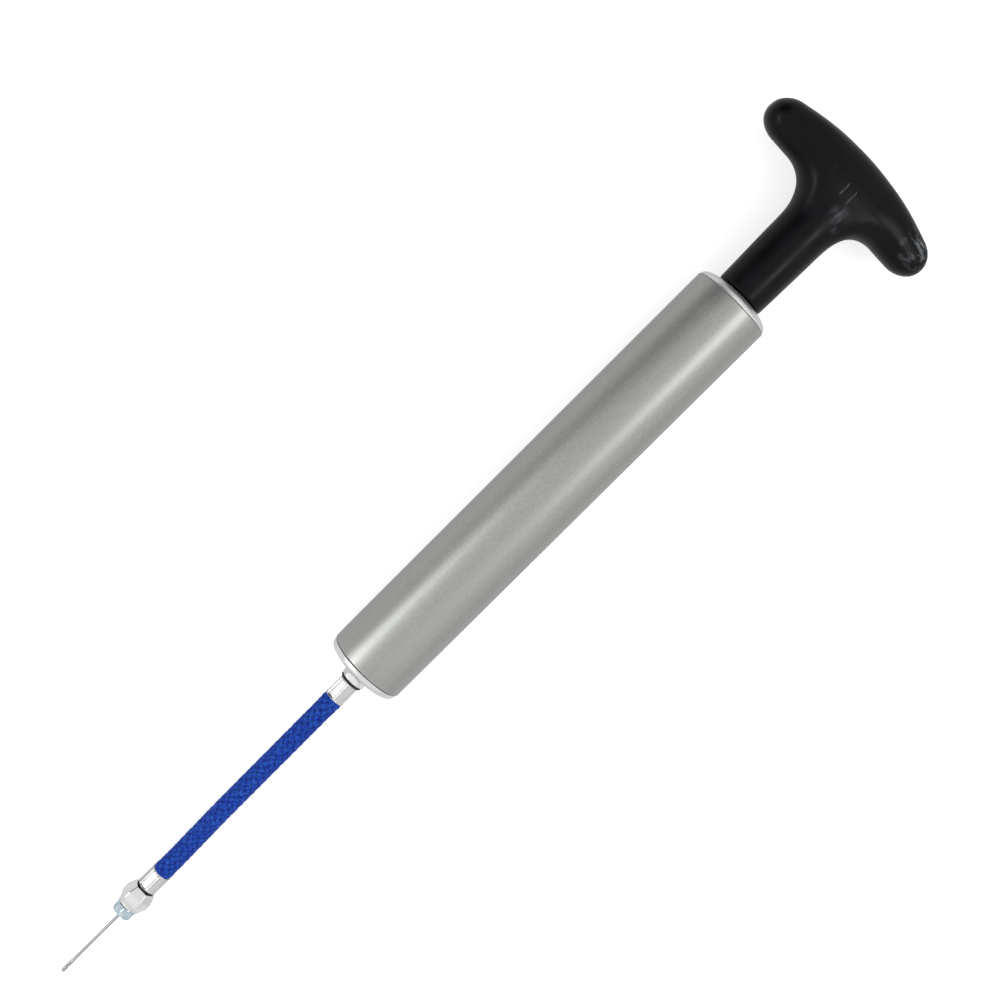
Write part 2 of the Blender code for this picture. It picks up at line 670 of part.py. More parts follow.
def grip_underside(reach):
    """The station of the grip's lower outline at a distance from the pump's axis."""
    if reach <= GRIP_FILLET_START:
        return GRIP_UNDERSIDE - GRIP_FILLET
    if reach >= GRIP_FILLET_END:
        return GRIP_UNDERSIDE
    across = (GRIP_FILLET_END - reach) / (GRIP_FILLET_END - GRIP_FILLET_START)
    return GRIP_UNDERSIDE - GRIP_FILLET * (1.0 - math.sqrt(1.0 - across**2))


def grip_section(reach):
    """(middle station, half height, half depth) of the oval section of an arm."""
    straight = GRIP_HALF_LENGTH - GRIP_END_LENGTH
    along = min(reach, straight)
    low = grip_underside(along)
    high = GRIP_CROWN - along**2 / (2.0 * GRIP_CROWN_CURVE)
    depth = GRIP_HALF_DEPTH + (GRIP_END_DEPTH - GRIP_HALF_DEPTH) * (along / straight) ** 2
    past = max(0.0, (reach - straight) / GRIP_END_LENGTH)
    shrink = max(0.0, 1.0 - past**GRIP_END_POWER) ** (1.0 / GRIP_END_POWER)
    middle = 0.5 * (high + low) - 0.4 * MM * past
    return middle, 0.5 * (high - low) * shrink, depth * shrink


def grip_stations():
    """Distances from the axis at which sections stand, closer where the outline bends."""
    straight = GRIP_HALF_LENGTH - GRIP_END_LENGTH
    fillet = [GRIP_FILLET_START + (GRIP_FILLET_END - GRIP_FILLET_START) * (i / 6) ** 1.5 for i in range(7)]
    tip = [straight + GRIP_END_LENGTH * math.sin(math.radians(18 * i)) for i in range(5)]
    return [0.0, 4.0 * MM, 7.0 * MM, *fillet, 0.5 * (GRIP_FILLET_END + straight), *tip]


def grip_mesh():
    """The T's crossbar as a loft of oval sections along local Y, closed at both tips."""
    side = grip_stations()
    reaches = [-y for y in reversed(side[1:])] + side
    shape = bmesh.new()
    ovals = []
    for y in reaches:
        middle, half_height, half_depth = grip_section(abs(y))
        oval = []
        for i in range(GRIP_RING_POINTS):
            angle = 2 * math.pi * i / GRIP_RING_POINTS
            power = 2.0 / GRIP_SECTION_POWER
            x = half_depth * math.copysign(abs(math.cos(angle)) ** power, math.cos(angle))
            z = half_height * math.copysign(abs(math.sin(angle)) ** power, math.sin(angle))
            oval.append(shape.verts.new((x, y, middle + z)))
        ovals.append(oval)
    for oval, following in zip(ovals, ovals[1:]):
        for i in range(GRIP_RING_POINTS):
            k = (i + 1) % GRIP_RING_POINTS
            shape.faces.new((oval[i], oval[k], following[k], following[i]))
    for oval, y in ((ovals[0], -GRIP_HALF_LENGTH), (ovals[-1], GRIP_HALF_LENGTH)):
        tip = shape.verts.new((0.0, y, grip_section(GRIP_HALF_LENGTH)[0]))
        for i in range(GRIP_RING_POINTS):
            shape.faces.new((oval[i], oval[(i + 1) % GRIP_RING_POINTS], tip))
    bmesh.ops.recalc_face_normals(shape, faces=shape.faces)
    mesh = bpy.data.meshes.new("handle")
    shape.to_mesh(mesh)
    shape.free()
    smooth_by_angle(mesh)
    return mesh


def neck_mesh():
    """The tapered neck, whose top is a dome that ends inside the crossbar."""
    start, radius = NECK_RADII[-1]
    dome = []
    for i in range(5):
        angle = math.radians(90 - 20 * i)
        dome.append((radius * math.cos(angle), start + (NECK_DOME_TOP - start) * math.sin(angle)))
    dome[0] = (0.0, NECK_DOME_TOP)
    walls = [(r, station) for station, r in reversed(NECK_RADII)]
    return turned_mesh("neck", [*dome, *walls[:-1], *neck_rim(), (0.0, NECK_END)], 36)


def neck_rim():
    """The neck's free end, with its edge rounded a little."""
    radius = NECK_RADII[0][1]
    return [(radius, NECK_END + 0.4 * MM), (radius - 0.4 * MM, NECK_END)]


def neck_hole_mesh():
    """The rod's hole, which opens out for the threaded insert."""
    low = ROD_HIGH_SHOULDER + 0.5 * MM - GAP
    high = low + INSERT_LENGTH + 2 * GAP
    profile = [
        (0.0, high + 0.8 * MM),
        (ROD_HIGH_RADIUS + GAP, high + 0.8 * MM),
        (ROD_HIGH_RADIUS + GAP, high),
        (INSERT_RADIUS + GAP, high),
        (INSERT_RADIUS + GAP, low),
        (ROD_HOLE_RADIUS, low),
        (ROD_HOLE_RADIUS, NECK_END - MM),
        (0.0, NECK_END - MM),
    ]
    return turned_mesh("neck_hole", profile, 24)


def make_handle():
    handle = place(bpy.data.objects.new("handle", grip_mesh()), BLACK_PLASTIC)
    boolean(handle, cutter("handle_neck", neck_mesh(), handle), "UNION")
    boolean(handle, cutter("handle_hole", neck_hole_mesh(), handle), "DIFFERENCE")
    low = ROD_HIGH_SHOULDER + 0.5 * MM
    insert = sleeve(INSERT_RADIUS, ROD_HIGH_RADIUS + GAP, low + INSERT_LENGTH, low, 0.4 * MM)
    turned("handle_insert", insert, BRASS)


make_barrel_tube()
make_bottom_cap()
make_cap_o_ring()
make_top_collar()
make_guide_bush()
make_outlet_nipple()
make_nipple_o_ring()
make_valve()
make_upper_hose_end()
make_hose()
make_lower_hose_end()
make_nut()
make_needle()
make_plunger_rod()
make_piston()
make_stop_bumper()
make_handle()
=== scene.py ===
"""Looks of the ball inflation pump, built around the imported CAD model."""

import json
import math

import bmesh
import bpy
import numpy as np
from mathutils import Matrix, Vector
from mathutils.bvhtree import BVHTree


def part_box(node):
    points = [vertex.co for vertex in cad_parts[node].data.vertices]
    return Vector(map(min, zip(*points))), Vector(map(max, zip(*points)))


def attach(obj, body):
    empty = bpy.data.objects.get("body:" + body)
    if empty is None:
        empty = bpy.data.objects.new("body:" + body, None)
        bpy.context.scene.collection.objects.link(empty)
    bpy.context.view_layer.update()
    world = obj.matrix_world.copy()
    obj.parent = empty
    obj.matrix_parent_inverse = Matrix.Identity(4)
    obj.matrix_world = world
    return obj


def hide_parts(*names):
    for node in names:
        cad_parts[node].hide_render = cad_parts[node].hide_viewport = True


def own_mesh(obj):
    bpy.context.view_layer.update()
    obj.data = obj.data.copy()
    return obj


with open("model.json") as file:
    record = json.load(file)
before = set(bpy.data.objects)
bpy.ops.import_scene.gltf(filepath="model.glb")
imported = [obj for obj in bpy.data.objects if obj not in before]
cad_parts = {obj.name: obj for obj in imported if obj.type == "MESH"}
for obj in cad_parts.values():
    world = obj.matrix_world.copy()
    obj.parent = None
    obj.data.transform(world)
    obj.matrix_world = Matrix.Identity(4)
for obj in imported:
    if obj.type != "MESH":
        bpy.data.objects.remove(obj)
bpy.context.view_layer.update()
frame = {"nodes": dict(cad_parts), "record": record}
MM = 0.001


def axis_of(node):
    """(y, z) of the X-parallel line through the middle of a turned CAD node."""
    low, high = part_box(node)
    return 0.5 * (low.y + high.y), 0.5 * (low.z + high.z)


def low_x(node):
    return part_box(node)[0].x


def high_x(node):
    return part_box(node)[1].x


PUMP = axis_of("barrel_tube")
UNIT = axis_of("needle_tube")
START = low_x("barrel_tube")  # station 0: the barrel's outlet end
BARREL_END = high_x("barrel_tube")
BARREL_RADIUS = 0.5 * (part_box("barrel_tube")[1].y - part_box("barrel_tube")[0].y)

# Where a flat faces, from +Z towards +Y
NUT_TURN = math.radians(18.0)
UPPER_FERRULE_TURN = math.radians(40.0)
LOWER_FERRULE_TURN = math.radians(31.0)
NEEDLE_HUB_TURN = math.radians(44.0)


def at(station):
    """World x of a station in millimetres along the pump, counted from the barrel's outlet end."""
    return START + station * MM


# Camera: above the pump, a little to the +Y side, turned so that the pump runs corner to corner

LENS = 50.4 * MM
FOOT_STATION = 69.04 * MM
CAMERA_DISTANCE = 452.2 * MM
CAMERA_TILT = math.radians(4.756)
CAMERA_LEAN = math.radians(14.0)
CAMERA_ROLL = math.radians(44.9)
CAMERA_ASIDE = 7.6 * MM
CAMERA_CLIP = (0.01, 200.0)
SENSOR_WIDTH = 36.0 * MM


def make_camera():
    """The photo's camera, as a rotation and a place worked out from the numbers above."""
    normal = Vector((0.0, math.sin(CAMERA_LEAN), math.cos(CAMERA_LEAN)))
    along = math.cos(CAMERA_TILT) * Vector((1, 0, 0)) - math.sin(CAMERA_TILT) * normal
    back = math.sin(CAMERA_TILT) * Vector((1, 0, 0)) + math.cos(CAMERA_TILT) * normal
    across = Vector((0.0, -math.cos(CAMERA_LEAN), math.sin(CAMERA_LEAN)))
    right = math.cos(CAMERA_ROLL) * along + math.sin(CAMERA_ROLL) * across
    up = math.sin(CAMERA_ROLL) * along - math.cos(CAMERA_ROLL) * across
    foot = Vector((START + FOOT_STATION, *PUMP))
    place = foot + CAMERA_DISTANCE * back - CAMERA_ASIDE * across
    data = bpy.data.cameras.new("camera")
    data.sensor_width = SENSOR_WIDTH / MM
    data.lens = LENS / MM
    data.clip_start, data.clip_end = CAMERA_CLIP
    camera = bpy.data.objects.new("camera", data)
    rotation = Matrix((right, up, back)).transposed().to_4x4()
    camera.matrix_world = Matrix.Translation(place) @ rotation
    bpy.context.scene.collection.objects.link(camera)
    bpy.context.scene.camera = camera


# Studio: a bright room with shades that only reflections show, three soft panels and white paper

ROOM_LIGHT = 0.92
# A shade: its direction, a ray's dot product with it where the shade is full and where it ends, and the
# share of light left where it is full
HORIZON_SHADE = ((0.0, 0.0, 1.0), 0.05, 0.24, 0.52)
SIDE_SHADE = ((0.42, 0.80, 0.42), math.cos(0.27), math.cos(0.66), 0.04)
TOP = 2 * PUMP[1]  # of the barrel
# A panel: name, place with its height over TOP, the station and share of TOP that it faces, size, watts
PANELS = (
    ("outlet_panel", (-0.42, 0.79, 0.62), (0.0, 1.0), (0.34, 0.20), 1.30),
    ("handle_panel", (0.25, -0.47, 0.88), (160.0, 1.0), (0.36, 0.21), 1.45),
    ("hose_panel", (-0.36, 0.34, 0.30), (-50.0, 0.5), (0.22, 0.22), 0.36),
)
FLOOR_SIZE = 60.0
FLOOR_DROP = 0.05 * MM
FLOOR_GLOW_REFLECTED = 0.18
FLOOR_GLOW_SEEN = 0.62


def soft_light(name, place, target, size, power):
    """A rectangular panel at place that faces target."""
    data = bpy.data.lights.new(name, "AREA")
    data.shape = "RECTANGLE"
    data.size, data.size_y = size
    data.energy = power
    light = bpy.data.objects.new(name, data)
    light.location = place
    light.rotation_euler = (Vector(target) - Vector(place)).to_track_quat("-Z", "Y").to_euler()
    bpy.context.scene.collection.objects.link(light)


def shaded(tree, strength, direction, start, end, low):
    """A world strength times a factor, which rises from low at the dot product start to 1 at end."""
    source = tree.nodes.new("ShaderNodeTexCoord").outputs["Generated"]
    dot = tree.nodes.new("ShaderNodeVectorMath")
    dot.operation = "DOT_PRODUCT"
    tree.links.new(source, dot.inputs[0])
    dot.inputs[1].default_value = Vector(direction).normalized()
    ease = tree.nodes.new("ShaderNodeMapRange")
    ease.interpolation_type = "SMOOTHSTEP"
    tree.links.new(dot.outputs["Value"], ease.inputs["Value"])
    ease.inputs["From Min"].default_value = start
    ease.inputs["From Max"].default_value = end
    ease.inputs["To Min"].default_value = low
    ease.inputs["To Max"].default_value = 1.0
    product = tree.nodes.new("ShaderNodeMath")
    product.operation = "MULTIPLY"
    tree.links.new(ease.outputs["Result"], product.inputs[0])
    tree.links.new(strength, product.inputs[1])
    return product.outputs["Value"]


def make_studio():
    """Bright room with three soft panels. Its darker horizon and side show in reflections only."""
    world = bpy.data.worlds.new("studio")
    world.use_nodes = True
    tree = world.node_tree
    base = tree.nodes.new("ShaderNodeValue")
    base.outputs[0].default_value = ROOM_LIGHT
    strength = base.outputs[0]
    for shade in (HORIZON_SHADE, SIDE_SHADE):
        strength = shaded(tree, strength, *shade)
    plain = tree.nodes.new("ShaderNodeMapRange")
    seen = tree.nodes.new("ShaderNodeLightPath").outputs["Is Camera Ray"]
    tree.links.new(seen, plain.inputs["Value"])
    tree.links.new(strength, plain.inputs["To Min"])
    plain.inputs["To Max"].default_value = ROOM_LIGHT
    tree.links.new(plain.outputs["Result"], tree.nodes["Background"].inputs["Strength"])
    tree.nodes["Background"].inputs["Color"].default_value = (1.0, 1.0, 1.0, 1.0)
    bpy.context.scene.world = world
    bpy.context.scene.view_settings.view_transform = "Standard"
    for name, (x, y, z), (station, share), size, power in PANELS:
        soft_light(name, (x, y, TOP + z), (at(station), 0.0, share * TOP), size, power)


def make_floor():
    """White paper with faint shadows, a little dimmer in reflections than it looks."""
    shape = bmesh.new()
    bmesh.ops.create_grid(shape, x_segments=2, y_segments=2, size=FLOOR_SIZE)
    bmesh.ops.translate(shape, verts=shape.verts, vec=(0.0, 0.0, -FLOOR_DROP))
    mesh = bpy.data.meshes.new("floor")
    shape.to_mesh(mesh)
    shape.free()
    floor = bpy.data.objects.new("floor", mesh)
    bpy.context.scene.collection.objects.link(floor)
    graph = Graph("floor_paper", base=(0.62, 0.62, 0.62), rough=0.9)
    seen = graph.node("LightPath").outputs["Is Camera Ray"]
    glow = graph.spread(seen, FLOOR_GLOW_REFLECTED, FLOOR_GLOW_SEEN, 0.0, 1.0)
    graph.put(graph.shader.inputs["Emission Strength"], glow)
    graph.shader.inputs["Emission Color"].default_value = (1.0, 1.0, 1.0, 1.0)
    mesh.materials.append(graph.material)


# Materials: node graphs in the object's own metres

PATCH_CORE = 0.2  # share of a patch's reach before it starts to fade
PATCH_PEAKS = (0.50, 0.66)  # noise values between which a painted highlight appears


class Graph:
    """A Principled material and short ways to add nodes to it."""

    def __init__(self, name, base, rough, metal=0.0, **sockets):
        self.material = bpy.data.materials.new(name)
        self.material.use_nodes = True
        self.tree = self.material.node_tree
        self.shader = self.tree.nodes["Principled BSDF"]
        self.shader.inputs["Base Color"].default_value = (*base, 1.0)
        self.shader.inputs["Roughness"].default_value = rough
        self.shader.inputs["Metallic"].default_value = metal
        for socket, value in sockets.items():
            self.shader.inputs[socket.replace("_", " ")].default_value = value

    def put(self, socket, value):
        if isinstance(value, bpy.types.NodeSocket):
            self.tree.links.new(value, socket)
        else:
            socket.default_value = value

    def node(self, kind, settings=None, **inputs):
        """A new node with its settings and inputs; an input is a value or a socket to link."""
        made = self.tree.nodes.new("ShaderNode" + kind)
        for name, value in (settings or {}).items():
            setattr(made, name, value)
        for name, value in inputs.items():
            self.put(made.inputs[name.replace("_", " ")], value)
        return made

    def product(self, first, second):
        """Two values multiplied."""
        made = self.node("Math", {"operation": "MULTIPLY"})
        self.put(made.inputs[0], first)
        self.put(made.inputs[1], second)
        return made.outputs["Value"]

    def coords(self, stretch):
        source = self.node("TexCoord").outputs["Object"]
        return self.node("Mapping", Vector=source, Scale=stretch).outputs["Vector"]

    def noise(self, scale, detail, stretch=(1.0, 1.0, 1.0), roughness=0.5):
        """Noise with scale cells a metre; a stretch below 1 makes it longer along that axis."""
        place = self.coords(stretch)
        made = self.node("TexNoise", Vector=place, Scale=scale, Detail=detail, Roughness=roughness)
        return made.outputs["Fac"]

    def spread(self, value, low, high, start=0.3, end=0.7):
        """A value from start to end, mapped to low to high."""
        made = self.node("MapRange", Value=value)
        made.inputs["From Min"].default_value = start
        made.inputs["From Max"].default_value = end
        made.inputs["To Min"].default_value = low
        made.inputs["To Max"].default_value = high
        return made.outputs["Result"]

    def blend(self, factor, first, second):
        """A colour from first to second. Each is a colour or a socket."""
        made = self.node("Mix", {"data_type": "RGBA"})
        self.put(made.inputs["Factor"], factor)
        for name, color in (("A", first), ("B", second)):
            socket = [s for s in made.inputs if s.name == name and s.type == "RGBA"][0]
            self.put(socket, color if isinstance(color, bpy.types.NodeSocket) else (*color, 1.0))
        return [s for s in made.outputs if s.type == "RGBA"][0]

    def masked(self, value, patch):
        """The peaks of a value inside a round patch, given as its centre and reach."""
        centre, reach = patch
        source = self.node("TexCoord").outputs["Object"]
        away = self.node("VectorMath", {"operation": "DISTANCE"})
        self.put(away.inputs[0], source)
        away.inputs[1].default_value = centre
        inside = self.spread(away.outputs["Value"], 1.0, 0.0, PATCH_CORE * reach, reach)
        peaks = self.spread(value, 0.0, 1.0, *PATCH_PEAKS)
        return self.product(inside, peaks)

    def color(self, factor, first, second):
        self.put(self.shader.inputs["Base Color"], self.blend(factor, first, second))

    def rough(self, factor, low, high):
        self.put(self.shader.inputs["Roughness"], self.spread(factor, low, high))

    def bump(self, height, distance):
        made = self.node("Bump", Height=height, Distance=distance)
        self.put(self.shader.inputs["Normal"], made.outputs["Normal"])


# Places on the grip with painted highlights: centre and reach
PAINTED_HIGHLIGHT_END = (Vector((at(218.5), -28.5 * MM, PUMP[1] + 7.0 * MM)), 7.5 * MM)
PAINTED_HIGHLIGHT_NECK = (Vector((at(205.4), -2.4 * MM, PUMP[1] + 8.5 * MM)), 5.0 * MM)


def barrel_metal():
    """Satin silver-grey metal with faint lines drawn along the tube and a fine speckle."""
    graph = Graph("barrel_metal", (0.35, 0.36, 0.34), 0.40, 0.95)
    lines = graph.noise(900.0, 4.0, (0.012, 1.0, 1.0))
    speckle = graph.noise(1900.0, 3.0, roughness=0.6)
    cloud = graph.noise(28.0, 2.0)
    tone = graph.blend(graph.spread(cloud, 0.0, 1.0), (0.335, 0.333, 0.320), (0.335, 0.350, 0.336))
    grained = graph.blend(graph.spread(speckle, 0.0, 0.8, 0.40, 0.62), tone, (0.43, 0.43, 0.415))
    graph.color(graph.spread(lines, 0.0, 0.35), grained, (0.41, 0.42, 0.40))
    graph.rough(speckle, 0.36, 0.45)
    graph.bump(lines, 0.006 * MM)
    return graph.material


def cap_metal():
    """Light satin metal with turning marks across the axis."""
    graph = Graph("cap_metal", (0.74, 0.75, 0.74), 0.30, 0.9)
    marks = graph.noise(3000.0, 3.0, (1.0, 0.05, 0.05))
    cloud = graph.noise(60.0, 2.0)
    graph.color(graph.spread(cloud, 0.0, 1.0), (0.70, 0.71, 0.70), (0.79, 0.80, 0.79))
    graph.rough(marks, 0.28, 0.40)
    graph.bump(marks, 0.006 * MM)
    return graph.material


def chrome(name="chrome", low=(0.73, 0.73, 0.74), high=(0.83, 0.83, 0.84)):
    """Bright plating over a pressed or turned surface."""
    graph = Graph(name, low, 0.22, 1.0)
    orange_peel = graph.noise(700.0, 2.0)
    smear = graph.noise(160.0, 4.0, (1.0, 2.0, 2.0))
    graph.color(graph.spread(smear, 0.0, 1.0), low, high)
    graph.rough(smear, 0.17, 0.28)
    graph.bump(orange_peel, 0.010 * MM)
    return graph.material


def zinc():
    """Bluish zinc plate, a little clouded."""
    graph = Graph("zinc", (0.56, 0.66, 0.72), 0.20, 1.0)
    cloud = graph.noise(420.0, 4.0)
    graph.color(graph.spread(cloud, 0.0, 1.0), (0.38, 0.49, 0.58), (0.66, 0.74, 0.79))
    graph.rough(cloud, 0.14, 0.30)
    graph.bump(cloud, 0.010 * MM)
    return graph.material


def steel():
    """Bright drawn steel with lines along its length."""
    graph = Graph("steel", (0.40, 0.40, 0.41), 0.22, 1.0)
    lines = graph.noise(2400.0, 4.0, (0.01, 1.0, 1.0))
    graph.color(graph.spread(lines, 0.0, 1.0), (0.34, 0.34, 0.35), (0.48, 0.48, 0.49))
    graph.rough(lines, 0.17, 0.30)
    graph.bump(lines, 0.003 * MM)
    return graph.material


def brass():
    """Turned brass, a little tarnished."""
    graph = Graph("brass", (0.72, 0.55, 0.25), 0.28, 1.0)
    tarnish = graph.noise(300.0, 4.0)
    graph.color(graph.spread(tarnish, 0.0, 1.0), (0.62, 0.44, 0.18), (0.78, 0.62, 0.32))
    graph.rough(tarnish, 0.22, 0.40)
    graph.bump(tarnish, 0.006 * MM)
    return graph.material


def black_plastic():
    """Satin moulding: near-black, with a fine grain, slight flow marks and painted highlights on the
    neck and at one arm's end.
    """
    graph = Graph("black_plastic", (0.003, 0.003, 0.004), 0.32, 0.0, Specular_IOR_Level=0.13)
    grain = graph.noise(1500.0, 3.0, roughness=0.6)
    flow = graph.noise(90.0, 3.0, (1.0, 0.4, 1.0))
    tone = graph.blend(graph.spread(flow, 0.0, 1.0), (0.0014, 0.0014, 0.0022), (0.0034, 0.0034, 0.0052))
    # Painted highlights: pale noise patches on the neck and at one arm's end stand in for gloss catching
    # the light.
    highlight_noise = graph.noise(420.0, 2.0, (0.4, 1.0, 1.0), 0.5)
    neck_highlighted = graph.blend(graph.masked(highlight_noise, PAINTED_HIGHLIGHT_NECK), tone, (0.060, 0.064, 0.075))
    highlight_noise = graph.noise(420.0, 3.0, (1.0, 0.4, 1.0), 0.6)
    graph.color(graph.masked(highlight_noise, PAINTED_HIGHLIGHT_END), neck_highlighted, (0.200, 0.220, 0.235))
    graph.rough(flow, 0.24, 0.42)
    graph.bump(grain, 0.02 * MM)
    return graph.material


def gate_highlight_plastic():
    """Black moulding, paler and duller: the gate marks' highlights painted into the colour."""
    graph = Graph("gate_highlight_plastic", (0.03, 0.03, 0.035), 0.4, 0.0, Specular_IOR_Level=0.3)
    grain = graph.noise(1500.0, 3.0)
    graph.color(graph.spread(grain, 0.0, 1.0), (0.008, 0.008, 0.010), (0.070, 0.072, 0.080))
    graph.rough(grain, 0.3, 0.5)
    graph.bump(grain, 0.03 * MM)
    return graph.material


def black_rubber():
    """Matte rubber with a little dust."""
    graph = Graph("black_rubber", (0.012, 0.012, 0.012), 0.7)
    dust = graph.noise(900.0, 4.0)
    graph.color(graph.spread(dust, 0.0, 1.0), (0.008, 0.008, 0.009), (0.025, 0.025, 0.026))
    graph.rough(dust, 0.6, 0.85)
    graph.bump(dust, 0.02 * MM)
    return graph.material


def white_nylon():
    """Natural nylon, slightly translucent."""
    glow = {"Subsurface_Weight": 0.2, "Subsurface_Scale": 0.5 * MM}
    graph = Graph("white_nylon", (0.75, 0.76, 0.74), 0.42, 0.0, **glow)
    cloud = graph.noise(500.0, 3.0)
    graph.color(graph.spread(cloud, 0.0, 1.0), (0.70, 0.71, 0.69), (0.80, 0.81, 0.80))
    graph.rough(cloud, 0.36, 0.50)
    graph.bump(cloud, 0.008 * MM)
    return graph.material


def blue_braid():
    """Blue yarn with paler flecks on the strands' tops and fine filaments, and painted shade that
    darkens the gaps between strands.
    """
    sheen = {"Sheen_Weight": 0.06, "Sheen_Roughness": 0.4, "Sheen_Tint": (0.35, 0.55, 1.0, 1.0)}
    graph = Graph("blue_braid", (0.02, 0.06, 0.42), 0.6, 0.0, Specular_IOR_Level=0.12, **sheen)
    top = graph.node("Attribute", {"attribute_name": "strand_height"}).outputs["Fac"]
    dye = graph.node("Attribute", {"attribute_name": "strand_dye"}).outputs["Fac"]
    fleck = graph.noise(1100.0, 3.0, roughness=0.7)
    filament = graph.noise(5200.0, 2.0, (0.35, 1.0, 1.0))
    deep = graph.blend(dye, (0.003, 0.016, 0.28), (0.008, 0.050, 0.40))
    yarn = graph.blend(graph.spread(fleck, 0.0, 1.0, 0.45, 0.75), deep, (0.028, 0.15, 0.55))
    # Painted shade: the colour falls to deep navy where the braid's height drops into the gaps.
    graph.color(graph.spread(top, 0.0, 1.0, 0.05, 0.65), (0.002, 0.008, 0.09), yarn)
    graph.rough(fleck, 0.5, 0.75)
    graph.bump(filament, 0.03 * MM)
    return graph.material


MATERIALS = {
    "barrel_metal": barrel_metal(),
    "cap_metal": cap_metal(),
    "chrome": chrome(),
    "zinc": zinc(),
    "steel": steel(),
    "brass": brass(),
    "black_plastic": black_plastic(),
    "black_rubber": black_rubber(),
    "white_nylon": white_nylon(),
    "blue_braid": blue_braid(),
}


def dress_cad_nodes():
    """Gives every carried-over CAD node the procedural material of its slot."""
    for part in frame["record"]["subparts"]:
        mesh = frame["nodes"][part["node"]].data
        mesh.materials.clear()
        mesh.materials.append(MATERIALS[part["material_slot"]])


# Mesh tools


def finish_piece(name, mesh, slot, body, stands_for=(), angle=40.0):
    """Links a piece, shades it, and ties it to the CAD body that it moves with."""
    mesh.shade_smooth()
    mesh.set_sharp_from_angle(angle=math.radians(angle))
    mesh.materials.append(MATERIALS[slot])
    piece = bpy.data.objects.new(name, mesh)
    bpy.context.scene.collection.objects.link(piece)
    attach(piece, body)
    if stands_for:
        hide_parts(*stands_for)
    return piece


ROUNDING_STEPS = 5


def rounded(corners):
    """A closed profile with rounded corners: each corner is (x, radius) or (x, radius, rounding)."""
    profile = []
    count = len(corners)
    for i, corner in enumerate(corners):
        here = Vector(corner[:2])
        if len(corner) == 2:
            profile.append(here)
            continue
        before = (Vector(corners[i - 1][:2]) - here).normalized() * corner[2]
        after = (Vector(corners[(i + 1) % count][:2]) - here).normalized() * corner[2]
        for step in range(ROUNDING_STEPS + 1):
            t = step / ROUNDING_STEPS
            profile.append(here + before * (1 - t) ** 2 + after * t**2)
    return profile


def split_long(profile, step):
    """The same closed profile with no stretch longer than step."""
    points = []
    for i, start in enumerate(profile):
        end = profile[(i + 1) % len(profile)]
        pieces = max(1, math.ceil((end - start).length / step - 1e-6))
        points += [start.lerp(end, k / pieces) for k in range(pieces)]
    return points


def columns_of(profile):
    """The x and the radius of each point of a profile, as two columns."""
    return np.array([p[0] for p in profile])[:, None], np.array([p[1] for p in profile])[:, None]


def round_angles(count):
    """Evenly spaced angles of a full turn, as a row."""
    return (np.arange(count) * 2 * math.pi / count)[None, :]


def rings(xs, radii, angles, axis):
    """Points round an X-parallel axis: a row for each x. The angle runs from +Z towards +Y."""
    grid = radii + 0 * angles
    return np.stack(
        [xs + 0 * grid, axis[0] + grid * np.sin(angles), axis[1] + grid * np.cos(angles)], axis=-1
    )


def turned_mesh(name, profile, axis, segments, shape):
    """A closed profile of (x, radius) turned about an X-parallel axis.

    shape changes the radii by x and angle.
    """
    xs, radii = columns_of(profile)
    angles = round_angles(segments)
    if shape:
        radii = shape(xs + 0 * angles, radii + 0 * angles, angles + 0 * xs)
    return grid_mesh(name, rings(xs, radii, angles, axis), wrap_rows=True)


def grid_mesh(name, points, wrap_rows=False):
    """Quads over a grid of points, joined round each row.

    The first and last row are joined to each other with wrap_rows, and capped without.
    """
    rows, columns = points.shape[:2]
    index = np.arange(rows * columns).reshape(rows, columns)
    following = np.roll(index, -1, axis=0) if wrap_rows else index[1:]
    first = index if wrap_rows else index[:-1]
    quads = np.stack(
        [first, np.roll(first, -1, axis=1), np.roll(following, -1, axis=1), following], axis=-1
    ).reshape(-1, 4)
    faces = quads.tolist()
    if not wrap_rows:
        faces += [index[0].tolist()[::-1], index[-1].tolist()]
    mesh = bpy.data.meshes.new(name)
    mesh.from_pydata(points.reshape(-1, 3).tolist(), [], faces)
    shape = bmesh.new()
    shape.from_mesh(mesh)
    bmesh.ops.recalc_face_normals(shape, faces=shape.faces)
    shape.to_mesh(mesh)
    shape.free()
    return mesh


def hexagon(apothem, turn, power=70.0):
    """Presses six flats into a turned form, with crisper edges at a higher power.

    apothem is a distance or a function of x. turn is where a flat faces.
    """

    def shape(xs, radii, angles):
        reach = apothem(xs) if callable(apothem) else apothem
        total = 1.0
        for k in range(6):
            facing = np.clip(np.cos(angles - turn - k * math.pi / 3), 0.0, None)
            total = total + (facing * radii / reach) ** power
        return radii * total ** (-1.0 / power)

    return shape


NUT_BACK_REACH = 3.6  # least reach of the nut's flats towards the hose, in millimetres
NUT_EDGE_POWER = 110.0


def tapered_hexagon(turn, ratio, front, front_reach):
    """Six flats that follow a turned form's own radius, but stay outside front_reach beyond front.

    ratio is a flat's reach over the form's radius. front and front_reach are in millimetres.
    """

    def shape(xs, radii, angles):
        least = np.where(xs < at(front), front_reach, NUT_BACK_REACH) * MM
        flats = hexagon(lambda _: np.maximum(ratio * radii, least), turn, NUT_EDGE_POWER)
        return flats(xs, radii, angles)

    return shape


def path_points(corners):
    """World points (x, radius[, rounding]) of corners in millimetres."""
    return [(at(corner[0]), *(value * MM for value in corner[1:])) for corner in corners]


def turn_piece(name, corners, axis, slot, body, node, segments, step=2.0, shape=None, angle=40.0):
    """A piece turned from a closed profile of corners in millimetres, in place of a CAD node.

    No face is longer than step millimetres, and edges sharper than angle stay sharp.
    """
    profile = split_long(rounded(path_points(corners)), step * MM)
    mesh = turned_mesh(name, profile, axis, segments, shape)
    return finish_piece(name, mesh, slot, body, [node], angle)


# Barrel and caps, in millimetres

BARREL_LENGTH = (BARREL_END - START) / MM
BARREL_WALL = 1.2
BARREL_EDGE = 0.3


